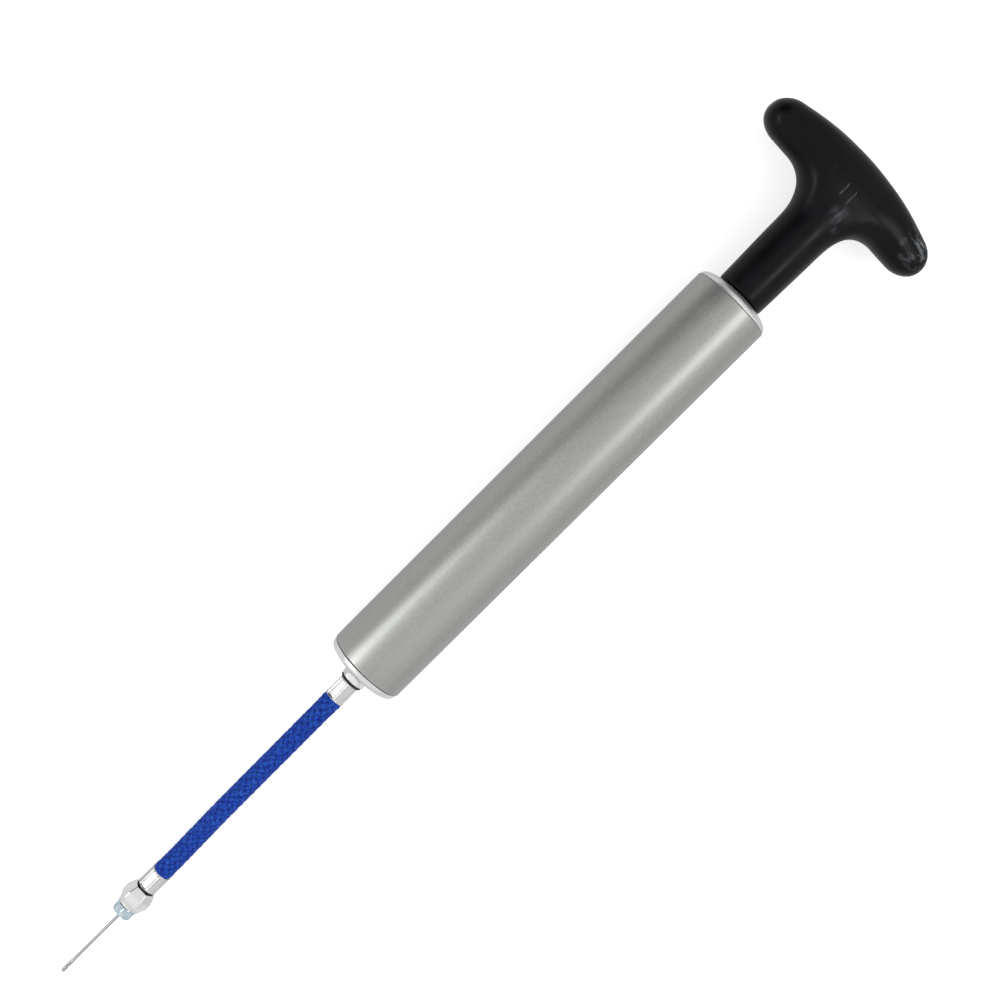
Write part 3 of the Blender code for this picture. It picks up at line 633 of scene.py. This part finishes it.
def make_barrel():
    """The plain tube, with lightly broken edges."""
    outer = BARREL_RADIUS / MM
    inner = outer - BARREL_WALL
    places = ((0, outer), (BARREL_LENGTH, outer), (BARREL_LENGTH, inner), (0, inner))
    corners = [(station, radius, BARREL_EDGE) for station, radius in places]
    detail = {"segments": 192, "step": 8.0}
    turn_piece("barrel", corners, PUMP, "barrel_metal", "pump", "barrel_tube", **detail)


def make_caps():
    """Two caps with rounded rims, each with a fine turned groove, and their spigots in the tube."""
    outlet = [
        (9.0, 12.4, 0.4),
        (-0.28, 12.4),
        (-0.28, 13.7, 0.2),
        (-2.3, 13.6, 1.4),
        (-3.35, 10.4, 0.8),
        (-3.75, 8.3, 0.1),
        (-3.65, 7.9, 0.1),
        (-3.9, 7.5, 0.1),
        (-4.5, 5.2, 0.3),
        (-4.5, 4.0),
        (9.0, 4.0),
    ]
    turn_piece("outlet_cap", outlet, PUMP, "cap_metal", "pump", "bottom_cap", segments=160)
    length = BARREL_LENGTH
    collar = [
        (length - 9.7, 12.4, 0.4),
        (length - 9.7, 6.5, 0.3),
        (length + 3.05, 6.5, 0.3),
        (length + 3.05, 9.6, 0.7),
        (length + 1.95, 12.9, 1.3),
        (length + 0.9, 13.5, 0.3),
        (length + 0.15, 13.75, 0.15),
        (length + 0.15, 12.4),
    ]
    turn_piece("handle_collar", collar, PUMP, "cap_metal", "pump", "top_collar", segments=160)


# Outlet fitting, its valve spring, the hose's ferrules and the nut

SPRING_RADIUS = 1.8 * MM
SPRING_WIRE_RADIUS = 0.3 * MM
SPRING_TURNS = 4
SPRING_STEPS = 32  # points in a turn
RING_BORE_ROUNDING = 0.1
FERRULE_LOW = (0.58, 0.58, 0.58)  # the ferrules' plating is greyer than the nut's
FERRULE_HIGH = (0.67, 0.67, 0.67)
CRIMP_EDGE_POWER = 260.0
CRIMP_BORE_LIMIT = 3.0 * MM  # the lines stay outside this radius
CRIMP_LINE_ANGLE = math.radians(22.5)
CRIMP_LINE_WIDTH = math.radians(4.0)
CRIMP_LINE_DEPTH = 0.24 * MM


def crimp(top, bottom, flat, round_radius, edge, turn):
    """Six pressed flats with a fine line beside each corner, easing back to round at both ends.

    All lengths are in millimetres.
    """

    def reach(xs):
        stations = (xs - START) / MM
        from_end = np.minimum(top - stations, stations - bottom)
        pressed = np.clip(from_end / edge, 0.0, 1.0)
        pressed = pressed * pressed * (3.0 - 2.0 * pressed)
        return (round_radius + (flat - round_radius) * pressed) * MM

    flats = hexagon(reach, turn, CRIMP_EDGE_POWER)

    def shape(xs, radii, angles):
        from_flat = np.abs((angles - turn + math.pi / 6) % (math.pi / 3) - math.pi / 6)
        line = np.exp(-(((from_flat - CRIMP_LINE_ANGLE) / CRIMP_LINE_WIDTH) ** 2))
        pressed = (round_radius * MM - reach(xs)) / ((round_radius - flat) * MM)
        outside = radii > CRIMP_BORE_LIMIT
        return flats(xs, radii, angles) - CRIMP_LINE_DEPTH * line * pressed * outside

    return shape


def make_ferrule(name, node, axis, top, bottom, turn):
    """A crimped sleeve between two stations. turn is where one of its six flats faces."""
    corners = [(top, 3.75, 0.3), (bottom, 3.75, 0.3), (bottom, 2.75, 0.2), (top, 2.75, 0.2)]
    shape = crimp(top, bottom, flat=3.42, round_radius=3.72, edge=0.7, turn=turn)
    detail = {"segments": 360, "step": 0.25, "shape": shape, "angle": 65.0}
    ferrule = turn_piece(name, corners, axis, "chrome", "pump", node, **detail)
    ferrule.data.materials[0] = chrome(f"{name}_chrome", FERRULE_LOW, FERRULE_HIGH)
    return ferrule


def make_ring(name, node, axis, slot, body, top, bottom, outer, inner, rounding):
    """A plain ring between two stations. All lengths are in millimetres."""
    corners = [(top, outer, rounding), (bottom, outer, rounding)]
    corners += [(bottom, inner, RING_BORE_ROUNDING), (top, inner, RING_BORE_ROUNDING)]
    return turn_piece(name, corners, axis, slot, body, node, segments=96, step=1.0)


def make_outlet_fitting():
    """Small hex flange outside the cap; its shank in the cap holds the valve chamber.

    Returns what joins the hose to it.
    """
    corners = [
        (5.3, 3.55, 0.2),
        (-4.3, 3.55, 0.1),
        (-4.5, 3.0, 0.1),
        (-5.0, 3.0, 0.1),
        (-5.0, 4.15),
        (-5.3, 4.5),
        (-6.75, 4.5),
        (-7.05, 4.15),
        (-7.05, 2.2, 0.1),
        (-4.2, 2.2),
        (-4.2, 1.0),
        (-2.6, 1.0),
        (-2.6, 2.65),
        (5.3, 2.65),
    ]
    detail = {"segments": 144, "step": 0.25, "shape": hexagon(3.95 * MM, NUT_TURN), "angle": 30.0}
    turn_piece("outlet_fitting", corners, PUMP, "chrome", "pump", "outlet_nipple", **detail)
    size = {"top": -7.2, "bottom": -7.75, "outer": 4.15, "inner": 2.3, "rounding": 0.25}
    ring = make_ring("fitting_ring", "nipple_o_ring", PUMP, "black_rubber", "pump", **size)
    size = {"top": -8.0, "bottom": -15.6, "turn": UPPER_FERRULE_TURN}
    ferrule = make_ferrule("upper_ferrule", "hose_ferrule_upper", PUMP, **size)
    return [ring, ferrule, frame["nodes"]["hose_stem_upper"]]


def make_valve_spring():
    """The spring behind the valve's ball, which in the pump shortens as the ball lifts. It is drawn at
    one length.
    """
    low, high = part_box("valve_spring")
    bottom, top = low.x + SPRING_WIRE_RADIUS, high.x - SPRING_WIRE_RADIUS
    angles = np.linspace(0.0, SPRING_TURNS * 2 * math.pi, SPRING_STEPS * SPRING_TURNS + 1)
    xs = np.linspace(bottom, top, len(angles))
    points = rings(xs, SPRING_RADIUS, angles, PUMP)
    radius = np.full(len(angles), SPRING_WIRE_RADIUS)
    radius[[0, -1]] *= 0.5
    mesh = ridge_mesh("return_spring", points, radius, closed=False, columns=16)
    spring = finish_piece("return_spring", mesh, "steel", "pump", ["valve_spring"])
    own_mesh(spring)


def make_lower_end():
    """Lower ferrule, dark ring and the long hex nut that tapers towards the needle."""
    size = {"top": -102.6, "bottom": -110.0, "turn": LOWER_FERRULE_TURN}
    ferrule = make_ferrule("lower_ferrule", "hose_ferrule_lower", UNIT, **size)
    size = {"top": -110.2, "bottom": -110.68, "outer": 3.5, "inner": 2.3, "rounding": 0.15}
    ring = make_ring("nut_ring", "nut_gasket", UNIT, "black_rubber", "pump", **size)
    corners = [
        (-110.9, 2.25, 0.1),
        (-110.9, 4.2, 0.15),
        (-113.9, 5.45, 0.3),
        (-116.4, 5.45, 0.5),
        (-118.55, 4.3, 0.3),
        (-118.95, 4.2, 0.1),
        (-118.95, 3.7, 0.1),
        (-118.0, 3.7),
        (-118.0, 2.75),
        (-113.0, 2.75),
        (-113.0, 2.25),
    ]
    shape = tapered_hexagon(NUT_TURN, ratio=0.872, front=-116.4, front_reach=4.0)
    detail = {"segments": 192, "step": 0.2, "shape": shape, "angle": 25.0}
    nut = turn_piece("nut", corners, UNIT, "chrome", "pump", "needle_nut", **detail)
    return [ferrule, ring, nut]


# Needle: hub, thread, notches and tube

NEEDLE_RADIUS = 0.55 * MM
NEEDLE_TIP_RADIUS = 0.66 * MM
NEEDLE_SWELL_START = 6.5 * MM  # this and the next three are distances from the tip
NEEDLE_SWELL_END = 5.0 * MM
NEEDLE_ROUND_LENGTH = 0.9 * MM
NEEDLE_PORT_PLACE = 3.2 * MM
NEEDLE_PORT_HALF_LENGTH = 0.55 * MM
NEEDLE_PORT_HALF_ANGLE = 0.55
NEEDLE_PORT_DEPTH = 0.3 * MM
NEEDLE_FACE_LENGTH = 0.12 * MM
NOTCH_TURN = math.radians(14.0)
NOTCH_HALF_WIDTH = 1.5 * MM
NOTCH_FLOOR = at(-121.3)
NOTCH_DEPTH_LEFT = 0.75 * MM  # half the web that stands between the two notches


def needle_hub_shape(top, bottom, pitch, depth, core):
    """Cuts a right-hand thread between two stations outside the core radius, and six flats on the hub.

    All lengths are in millimetres.
    """
    flats = hexagon(3.62 * MM, NEEDLE_HUB_TURN, power=60.0)

    def shape(xs, radii, angles):
        stations = (xs - START) / MM
        turns = stations / pitch + angles / (2 * math.pi)
        wave = 2.0 * np.abs(turns - np.floor(turns) - 0.5)
        groove = np.clip(1.25 - 1.5 * wave, 0.0, 1.0) * depth * MM
        inside = np.clip(np.minimum(top - stations, stations - bottom) / 0.4, 0.0, 1.0)
        cut = radii - groove * inside * (radii > core * MM)
        return np.where(stations < bottom - 0.6, flats(xs, radii, angles), cut)

    return shape


def make_needle():
    """Washer, threaded base with its flange, and the thin needle with a port near its round tip."""
    size = {"top": -118.2, "bottom": -118.9, "outer": 3.35, "inner": 2.75, "rounding": 0.15}
    washer = make_ring("washer", "needle_washer", UNIT, "white_nylon", "washer", **size)
    corners = [
        (-113.4, 0.8),
        (-113.4, 2.1, 0.2),
        (-113.9, 2.4, 0.1),
        (-119.2, 2.4),
        (-119.2, 3.85, 0.1),
        (-119.55, 4.0, 0.1),
        (-122.5, 4.0, 0.9),
        (-123.3, 3.1, 0.6),
        (-123.45, 1.8, 0.3),
        (-124.15, 1.2, 0.3),
        (-124.2, 0.65),
        (-123.8, 0.65),
    ]
    shape = needle_hub_shape(top=-113.5, bottom=-119.0, pitch=0.8, depth=0.32, core=2.0)
    detail = {"segments": 96, "step": 0.08, "shape": shape}
    base = turn_piece("needle_hub", corners, UNIT, "zinc", "needle", "needle_base", **detail)
    cut_notches(base.data)
    needle = needle_piece()
    return [washer, base, needle]


def cut_notches(mesh):
    """Sinks two opposite notches into the hub's free end, on both sides of the needle's root."""
    across = Vector((0.0, math.sin(NOTCH_TURN), math.cos(NOTCH_TURN)))
    beside = Vector((0.0, across.z, -across.y))
    centre = Vector((0.0, *UNIT))
    for vertex in mesh.vertices:
        if vertex.co.x >= NOTCH_FLOOR:
            continue
        aside = abs((vertex.co - centre).dot(beside)) / NOTCH_HALF_WIDTH
        above = abs((vertex.co - centre).dot(across)) - NOTCH_DEPTH_LEFT
        sink = min(1.0, max(0.0, (1.0 - aside) / 0.3)) * min(1.0, max(0.0, above / (0.5 * MM)))
        sink = sink * sink * (3.0 - 2.0 * sink)
        vertex.co.x += sink * (NOTCH_FLOOR - vertex.co.x)
    mesh.update()


def needle_piece():
    """The needle as one turned bar: a little thicker at its tip, with a side port sunk into its top."""
    tip = low_x("needle_tube")
    top = high_x("needle_tube")
    profile = [Vector((top, NEEDLE_RADIUS)), Vector((tip + NEEDLE_SWELL_START, NEEDLE_RADIUS))]
    profile.append(Vector((tip + NEEDLE_SWELL_END, NEEDLE_TIP_RADIUS)))
    for angle in [math.radians(90.0 * k / 8) for k in range(1, 9)]:
        x = tip + NEEDLE_ROUND_LENGTH * (1 - math.sin(angle))
        profile.append(Vector((x, NEEDLE_TIP_RADIUS * math.cos(angle) + 0.02 * MM)))
    points = [profile[0]]
    for start, end in zip(profile, profile[1:]):
        count = max(1, math.ceil((end - start).length / NEEDLE_FACE_LENGTH))
        points += [start.lerp(end, k / count) for k in range(1, count + 1)]
    xs, radii = columns_of(points)
    angles = round_angles(48)
    wrapped = (angles + math.pi) % (2 * math.pi) - math.pi
    away = ((xs - tip - NEEDLE_PORT_PLACE) / NEEDLE_PORT_HALF_LENGTH) ** 4
    away = away + (wrapped / NEEDLE_PORT_HALF_ANGLE) ** 4
    sunk = radii - NEEDLE_PORT_DEPTH * np.clip(1.6 - 1.2 * away, 0.0, 1.0)
    mesh = grid_mesh("needle", rings(xs, sunk, angles, UNIT))
    return finish_piece("needle", mesh, "steel", "needle", ["needle_tube"])


# Hose: the CAD's route, with a woven cover

HOSE_RADIUS = 3.5 * MM
HOSE_ROUTE_MM = (
    (-15.9, 0.0, 14.00),
    (-22.0, 0.0, 13.92),
    (-34.0, -0.3, 13.00),
    (-46.0, -0.8, 11.35),
    (-59.0, -1.4, 9.35),
    (-72.0, -2.0, 7.45),
    (-84.0, -2.6, 6.05),
    (-96.0, -3.0, 5.42),
    (-102.3, -3.0, 5.35),
)
STRANDS = 8
STRAND_PITCH = 3.1 * MM
STRAND_RELIEF = 0.26 * MM
YARNS = 4  # side by side in a strand
HOSE_RINGS = 460
HOSE_COLUMNS = 128
HOSE_END_REACH = 0.25 * MM  # how far the cover's end stands out, up to the ferrule
HOSE_END_FADE = 0.7 * MM  # over which the braid evens out at an end
HOSE_END_HEIGHT = 0.8
HOSE_END_TUCK = 0.22 * MM
HOSE_SWELL = 0.20 * MM  # bulge beside a ferrule
HOSE_SWELL_PLACE = 1.2 * MM
HOSE_SWELL_SPREAD = 0.8 * MM
ROUTE_STEPS = 40  # points between two of the route's own


def smooth_route(route, steps):
    """Evenly spaced points on a smooth curve through the route's own points (Catmull-Rom)."""
    ends = [2 * route[0] - route[1], *route, 2 * route[-1] - route[-2]]
    dense = []
    for before, start, end, after in zip(ends, ends[1:], ends[2:], ends[3:]):
        for k in range(ROUTE_STEPS):
            t = k / ROUTE_STEPS
            c = 2 * before - 5 * start + 4 * end - after
            d = 3 * start - before - 3 * end + after
            dense.append(0.5 * (2 * start + (end - before) * t + c * t**2 + d * t**3))
    dense = np.array([tuple(p) for p in [*dense, route[-1]]])
    lengths = np.concatenate([[0.0], np.cumsum(np.linalg.norm(np.diff(dense, axis=0), axis=1))])
    wanted = np.linspace(0.0, lengths[-1], steps)
    return np.stack([np.interp(wanted, lengths, dense[:, k]) for k in range(3)], axis=-1), wanted


def weave(along, around):
    """A two-way braid's height, 0 in gaps and 1 on top of a strand, and a shade for each yarn.

    pull shifts the strands unevenly, and ripple raises each yarn's middle.
    """
    pull = 0.16 * np.sin(2 * around + 900.0 * along)
    pull = pull + 0.13 * np.sin(3 * around - 640.0 * along + 1.3)
    first = around * STRANDS / (2 * math.pi) + along / STRAND_PITCH + pull
    second = around * STRANDS / (2 * math.pi) - along / STRAND_PITCH + 0.8 * pull
    i, j = np.floor(first), np.floor(second)
    across_first = np.cos(math.pi * (first - i - 0.5))
    across_second = np.cos(math.pi * (second - j - 0.5))
    first_on_top = (i + j) % 2 == 0
    across = np.where(first_on_top, across_first, across_second)
    lengthwise = np.where(first_on_top, across_second, across_first)
    yarn = np.where(first_on_top, first - i, second - j) * YARNS
    ripple = 0.84 + 0.16 * np.abs(np.sin(math.pi * yarn))
    strand = np.where(first_on_top, i, 100 + j) % STRANDS + np.floor(yarn) / YARNS
    shade = np.sin(12.9898 * strand + 3.1 * (i - j)) * 43758.5453
    height = np.sqrt(np.clip(across, 0.0, 1.0)) * (0.45 + 0.55 * lengthwise) * ripple
    return height, shade - np.floor(shade)


def make_hose(pieces_on_it):
    """The woven hose on the CAD's route, between the fittings at its two ends. pieces_on_it is not used.
    """
    route = [Vector((at(x), y * MM, z * MM)) for x, y, z in HOSE_ROUTE_MM]
    line, along = smooth_route(route, HOSE_RINGS)
    tangents = np.gradient(line, axis=0)
    tangents /= np.linalg.norm(tangents, axis=1)[:, None]
    side = np.cross(np.array([0.0, 0.0, 1.0]), tangents)
    side /= np.linalg.norm(side, axis=1)[:, None]
    over = np.cross(tangents, side)
    around = round_angles(HOSE_COLUMNS)
    height, dye = weave(along[:, None] + 0 * around, around + 0 * along[:, None])
    to_end = np.minimum(along, along[-1] - along)[:, None]
    gathered = np.clip(to_end / HOSE_END_FADE, 0.0, 1.0)
    height = HOSE_END_HEIGHT + (height - HOSE_END_HEIGHT) * gathered
    swell = HOSE_SWELL * np.exp(-(((to_end - HOSE_SWELL_PLACE) / HOSE_SWELL_SPREAD) ** 2))
    radius = HOSE_RADIUS - STRAND_RELIEF * (1.0 - height)
    radius = radius - HOSE_END_TUCK * (1.0 - np.sqrt(gathered)) + swell
    centres = line.copy()
    centres[0] -= HOSE_END_REACH * tangents[0]
    centres[-1] += HOSE_END_REACH * tangents[-1]
    points = centres[:, None, :] + radius[..., None] * (
        np.cos(around)[..., None] * over[:, None, :] + np.sin(around)[..., None] * side[:, None, :]
    )
    mesh = grid_mesh("braided_hose", points)
    for name, values in (("strand_height", height), ("strand_dye", dye)):
        mesh.attributes.new(name, "FLOAT", "POINT").data.foreach_set("value", values.ravel())
    hose = finish_piece("braided_hose", mesh, "blue_braid", "pump", ["hose"], 60.0)


# Plunger: rod and T-handle

GRIP_HALF_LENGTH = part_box("handle")[1].y
GRIP_CROWN = high_x("handle")
GRIP_UNDERSIDE = at(208.8)
GRIP_FILLET = 10.2 * MM
GRIP_FILLET_START = 9.3 * MM
GRIP_FILLET_END = 20.0 * MM
GRIP_END_LENGTH = 7.6 * MM
GRIP_END_POWER = 2.3
GRIP_HALF_DEPTH = 9.0 * MM
GRIP_END_DEPTH = 7.4 * MM
GRIP_SECTION_POWER = 2.2
GRIP_CROWN_CURVE = 104.0 * MM
GRIP_TIP_RISE = 0.78 * MM  # how far a tip's middle leans towards the crown
GRIP_VOXEL = 0.42 * MM
GRIP_SMOOTHING = 14  # rounds over the whole moulding
NECK_ROOT = Vector((at(203.0), *PUMP))  # middle of what is evened out where neck and arms meet
NECK_ROOT_REACH = 17.0 * MM
NECK_ROOT_ROUNDS = 220
NECK_RADIUS = 9.4
NECK_DOME_STATION = 205.0
NECK_DOME_HEIGHT = 14.0
PARTING_X = at(214.7)
PARTING_STEPS = 260
PARTING_RADIUS = 0.17 * MM
PARTING_SINK = 0.10 * MM
GATE_MARKS = ((210.2, 215.2, -0.8), (210.7, 215.6, 2.8))  # start and end station, and y
GATE_MARK_STEPS = 24
GATE_MARK_RADIUS = 0.42 * MM
GATE_MARK_SINK = 0.12 * MM


def grip_section(reach):
    """(middle x, half height, half depth) of the oval section of an arm at a distance from the axis."""
    straight = GRIP_HALF_LENGTH - GRIP_END_LENGTH
    along = min(reach, straight)
    across = (GRIP_FILLET_END - along) / (GRIP_FILLET_END - GRIP_FILLET_START)
    across = min(1.0, max(0.0, across))
    low = GRIP_UNDERSIDE - GRIP_FILLET * (1.0 - math.sqrt(1.0 - across**2))
    high = GRIP_CROWN - reach**2 / (2.0 * GRIP_CROWN_CURVE)
    depth = GRIP_HALF_DEPTH + (GRIP_END_DEPTH - GRIP_HALF_DEPTH) * (along / straight) ** 2
    past = max(0.0, (reach - straight) / GRIP_END_LENGTH)
    shrink = max(0.0, 1.0 - past**GRIP_END_POWER) ** (1.0 / GRIP_END_POWER)
    middle = 0.5 * (high + low) + GRIP_TIP_RISE * past
    return middle, 0.5 * (high - low) * shrink, depth * shrink


def grip_arms_mesh():
    """Both arms as one row of oval sections."""
    straight = GRIP_HALF_LENGTH - GRIP_END_LENGTH
    fillet = GRIP_FILLET_END - GRIP_FILLET_START
    side = np.concatenate(
        [
            np.linspace(0.0, GRIP_FILLET_START, 10),
            GRIP_FILLET_START + fillet * np.linspace(0.02, 1.0, 24) ** 1.6,
            np.linspace(GRIP_FILLET_END, straight, 10)[1:],
            straight + GRIP_END_LENGTH * np.sin(np.linspace(0.06, 0.985, 18) * math.pi / 2),
        ]
    )
    reaches = np.concatenate([-side[:0:-1], side])
    angles = round_angles(72)[0]
    power = 2.0 / GRIP_SECTION_POWER
    rows = []
    for y in reaches:
        middle, half_height, half_depth = grip_section(abs(y))
        xs = middle + half_height * np.sign(np.cos(angles)) * np.abs(np.cos(angles)) ** power
        zs = PUMP[1] + half_depth * np.sign(np.sin(angles)) * np.abs(np.sin(angles)) ** power
        rows.append(np.stack([xs, np.full_like(xs, y), zs], axis=-1))
    return grid_mesh("arms", np.array(rows))


def neck_mesh():
    """The tapered neck, with a dome that ends inside the arms."""
    corners = [(168.4, 0.5), (168.4, 8.5, 0.4), (188.0, 8.95), (196.0, 9.3)]
    corners.append((NECK_DOME_STATION, NECK_RADIUS))
    for angle in (0.25, 0.5, 0.75, 1.0, 1.25, 1.45):
        station = NECK_DOME_STATION + NECK_DOME_HEIGHT * math.sin(angle)
        corners.append((station, NECK_RADIUS * math.cos(angle)))
    points = path_points(corners)
    profile = [*rounded(points)[:-1], Vector(points[-1][:2])]
    return grid_mesh("neck", rings(*columns_of(profile), round_angles(96), PUMP))


def soften(mesh, centre, reach, rounds):
    """Evens out a mesh near a point, less and less towards reach."""
    count = len(mesh.vertices)
    points = np.empty(count * 3)
    mesh.vertices.foreach_get("co", points)
    points = points.reshape(-1, 3)
    edges = np.empty(len(mesh.edges) * 2, dtype=np.int64)
    mesh.edges.foreach_get("vertices", edges)
    first, second = edges.reshape(-1, 2).T
    links = np.bincount(first, minlength=count) + np.bincount(second, minlength=count)
    distance = np.linalg.norm(points - np.array(centre), axis=1) / reach
    weight = 0.6 * np.clip(1.0 - distance**2, 0.0, 1.0)[:, None]
    for _ in range(rounds):
        total = np.zeros_like(points)
        for axis in range(3):
            total[:, axis] += np.bincount(first, points[second, axis], count)
            total[:, axis] += np.bincount(second, points[first, axis], count)
        points += weight * (total / links[:, None] - points)
    mesh.vertices.foreach_set("co", points.ravel())
    mesh.update()


def make_grip():
    """Arms and neck melted into one moulding by a voxel remesh, then smoothed."""
    shape = bmesh.new()
    for mesh in (grip_arms_mesh(), neck_mesh()):
        shape.from_mesh(mesh)
    joined = bpy.data.meshes.new("grip")
    shape.to_mesh(joined)
    shape.free()
    grip = bpy.data.objects.new("grip_cage", joined)
    bpy.context.scene.collection.objects.link(grip)
    remesh = grip.modifiers.new("melt", "REMESH")
    remesh.mode = "VOXEL"
    remesh.voxel_size = GRIP_VOXEL
    smooth = grip.modifiers.new("smooth", "SMOOTH")
    smooth.factor = 0.5
    smooth.iterations = GRIP_SMOOTHING
    graph = bpy.context.evaluated_depsgraph_get()
    mesh = bpy.data.meshes.new_from_object(grip.evaluated_get(graph))
    bpy.data.objects.remove(grip)
    mesh.name = "grip"
    soften(mesh, NECK_ROOT, NECK_ROOT_REACH, NECK_ROOT_ROUNDS)
    finish_piece("grip", mesh, "black_plastic", "plunger", ["handle"], 70.0)
    make_mould_marks(mesh)


def ridge_mesh(name, points, radius, closed, columns=8):
    """A thin round bead along points, with a radius for each."""
    line = np.array([tuple(p) for p in points])
    if closed:
        tangents = np.roll(line, -1, axis=0) - np.roll(line, 1, axis=0)
        hint = np.array([1.0, 0.0, 0.0])
    else:
        tangents = np.gradient(line, axis=0)
        hint = np.array([0.0, 0.0, 1.0])
    tangents /= np.linalg.norm(tangents, axis=1)[:, None]
    side = np.cross(tangents, hint)
    side /= np.linalg.norm(side, axis=1)[:, None]
    over = np.cross(side, tangents)
    angles = round_angles(columns)[..., None]
    rows = line[:, None, :] + radius[:, None, None] * (
        np.cos(angles) * side[:, None, :] + np.sin(angles) * over[:, None, :]
    )
    return grid_mesh(name, rows, wrap_rows=closed)


def make_mould_marks(mesh):
    """The mould's parting line round the arms, and two short marks where the neck meets them.

    Both are beads sunk most of the way into the grip's surface.
    """
    faces = [tuple(polygon.vertices) for polygon in mesh.polygons]
    tree = BVHTree.FromPolygons([vertex.co for vertex in mesh.vertices], faces)
    outline = []
    for angle in [2 * math.pi * k / PARTING_STEPS for k in range(PARTING_STEPS)]:
        y = GRIP_HALF_LENGTH * math.cos(angle)
        middle, half_height, half_depth = grip_section(abs(y))
        off = min(1.0, abs(PARTING_X - middle) / max(half_height, 1e-6))
        z = half_depth * (1.0 - off**GRIP_SECTION_POWER) ** (1 / GRIP_SECTION_POWER)
        guess = Vector((PARTING_X, y, PUMP[1] + math.copysign(z, math.sin(angle))))
        point, normal = tree.find_nearest(guess)[:2]
        here = Vector((PARTING_X, point.y, point.z)) - PARTING_SINK * normal
        if not outline or (here - outline[-1]).length > 0.1 * MM:
            outline.append(here)
    radius = np.full(len(outline), PARTING_RADIUS)
    bead = ridge_mesh("parting_line", outline, radius, closed=True)
    finish_piece("parting_line", bead, "black_plastic", "plunger")
    # Painted highlights: the gate marks get a paler material.
    gate_highlight = gate_highlight_plastic()
    taper = np.sin(np.linspace(0.12, math.pi - 0.12, GATE_MARK_STEPS)) ** 0.5
    for k, (start, end, y) in enumerate(GATE_MARKS, 1):
        points = []
        for x in np.linspace(at(start), at(end), GATE_MARK_STEPS):
            hit, normal = tree.ray_cast(Vector((x, y * MM, 0.1)), Vector((0, 0, -1)))[:2]
            points.append(hit - GATE_MARK_SINK * normal)
        mark = ridge_mesh(f"gate_mark_{k}", points, GATE_MARK_RADIUS * taper, closed=False)
        finish_piece(f"gate_mark_{k}", mark, "black_plastic", "plunger")
        mark.materials[0] = gate_highlight


def make_rod():
    """The steel rod, with its thin ends in the piston and in the handle."""
    corners = [(202.5, 0.4), (202.5, 2.9, 0.3), (187.6, 3.0), (187.6, 4.0, 0.1), (21.7, 4.0, 0.2)]
    corners += [(21.7, 2.5), (10.2, 2.5, 0.4), (10.2, 0.4)]
    points = path_points(corners)
    profile = [Vector(points[0][:2]), *rounded(points[1:-1]), Vector(points[-1][:2])]
    mesh = grid_mesh("rod", rings(*columns_of(profile), round_angles(96), PUMP))
    finish_piece("rod", mesh, "steel", "plunger", ["plunger_rod"])


make_camera()
make_studio()
make_floor()
dress_cad_nodes()
make_barrel()
make_caps()
make_valve_spring()
make_hose([*make_outlet_fitting(), *make_lower_end(), *make_needle(), frame["nodes"]["hose_stem_lower"]])
make_grip()
make_rod()
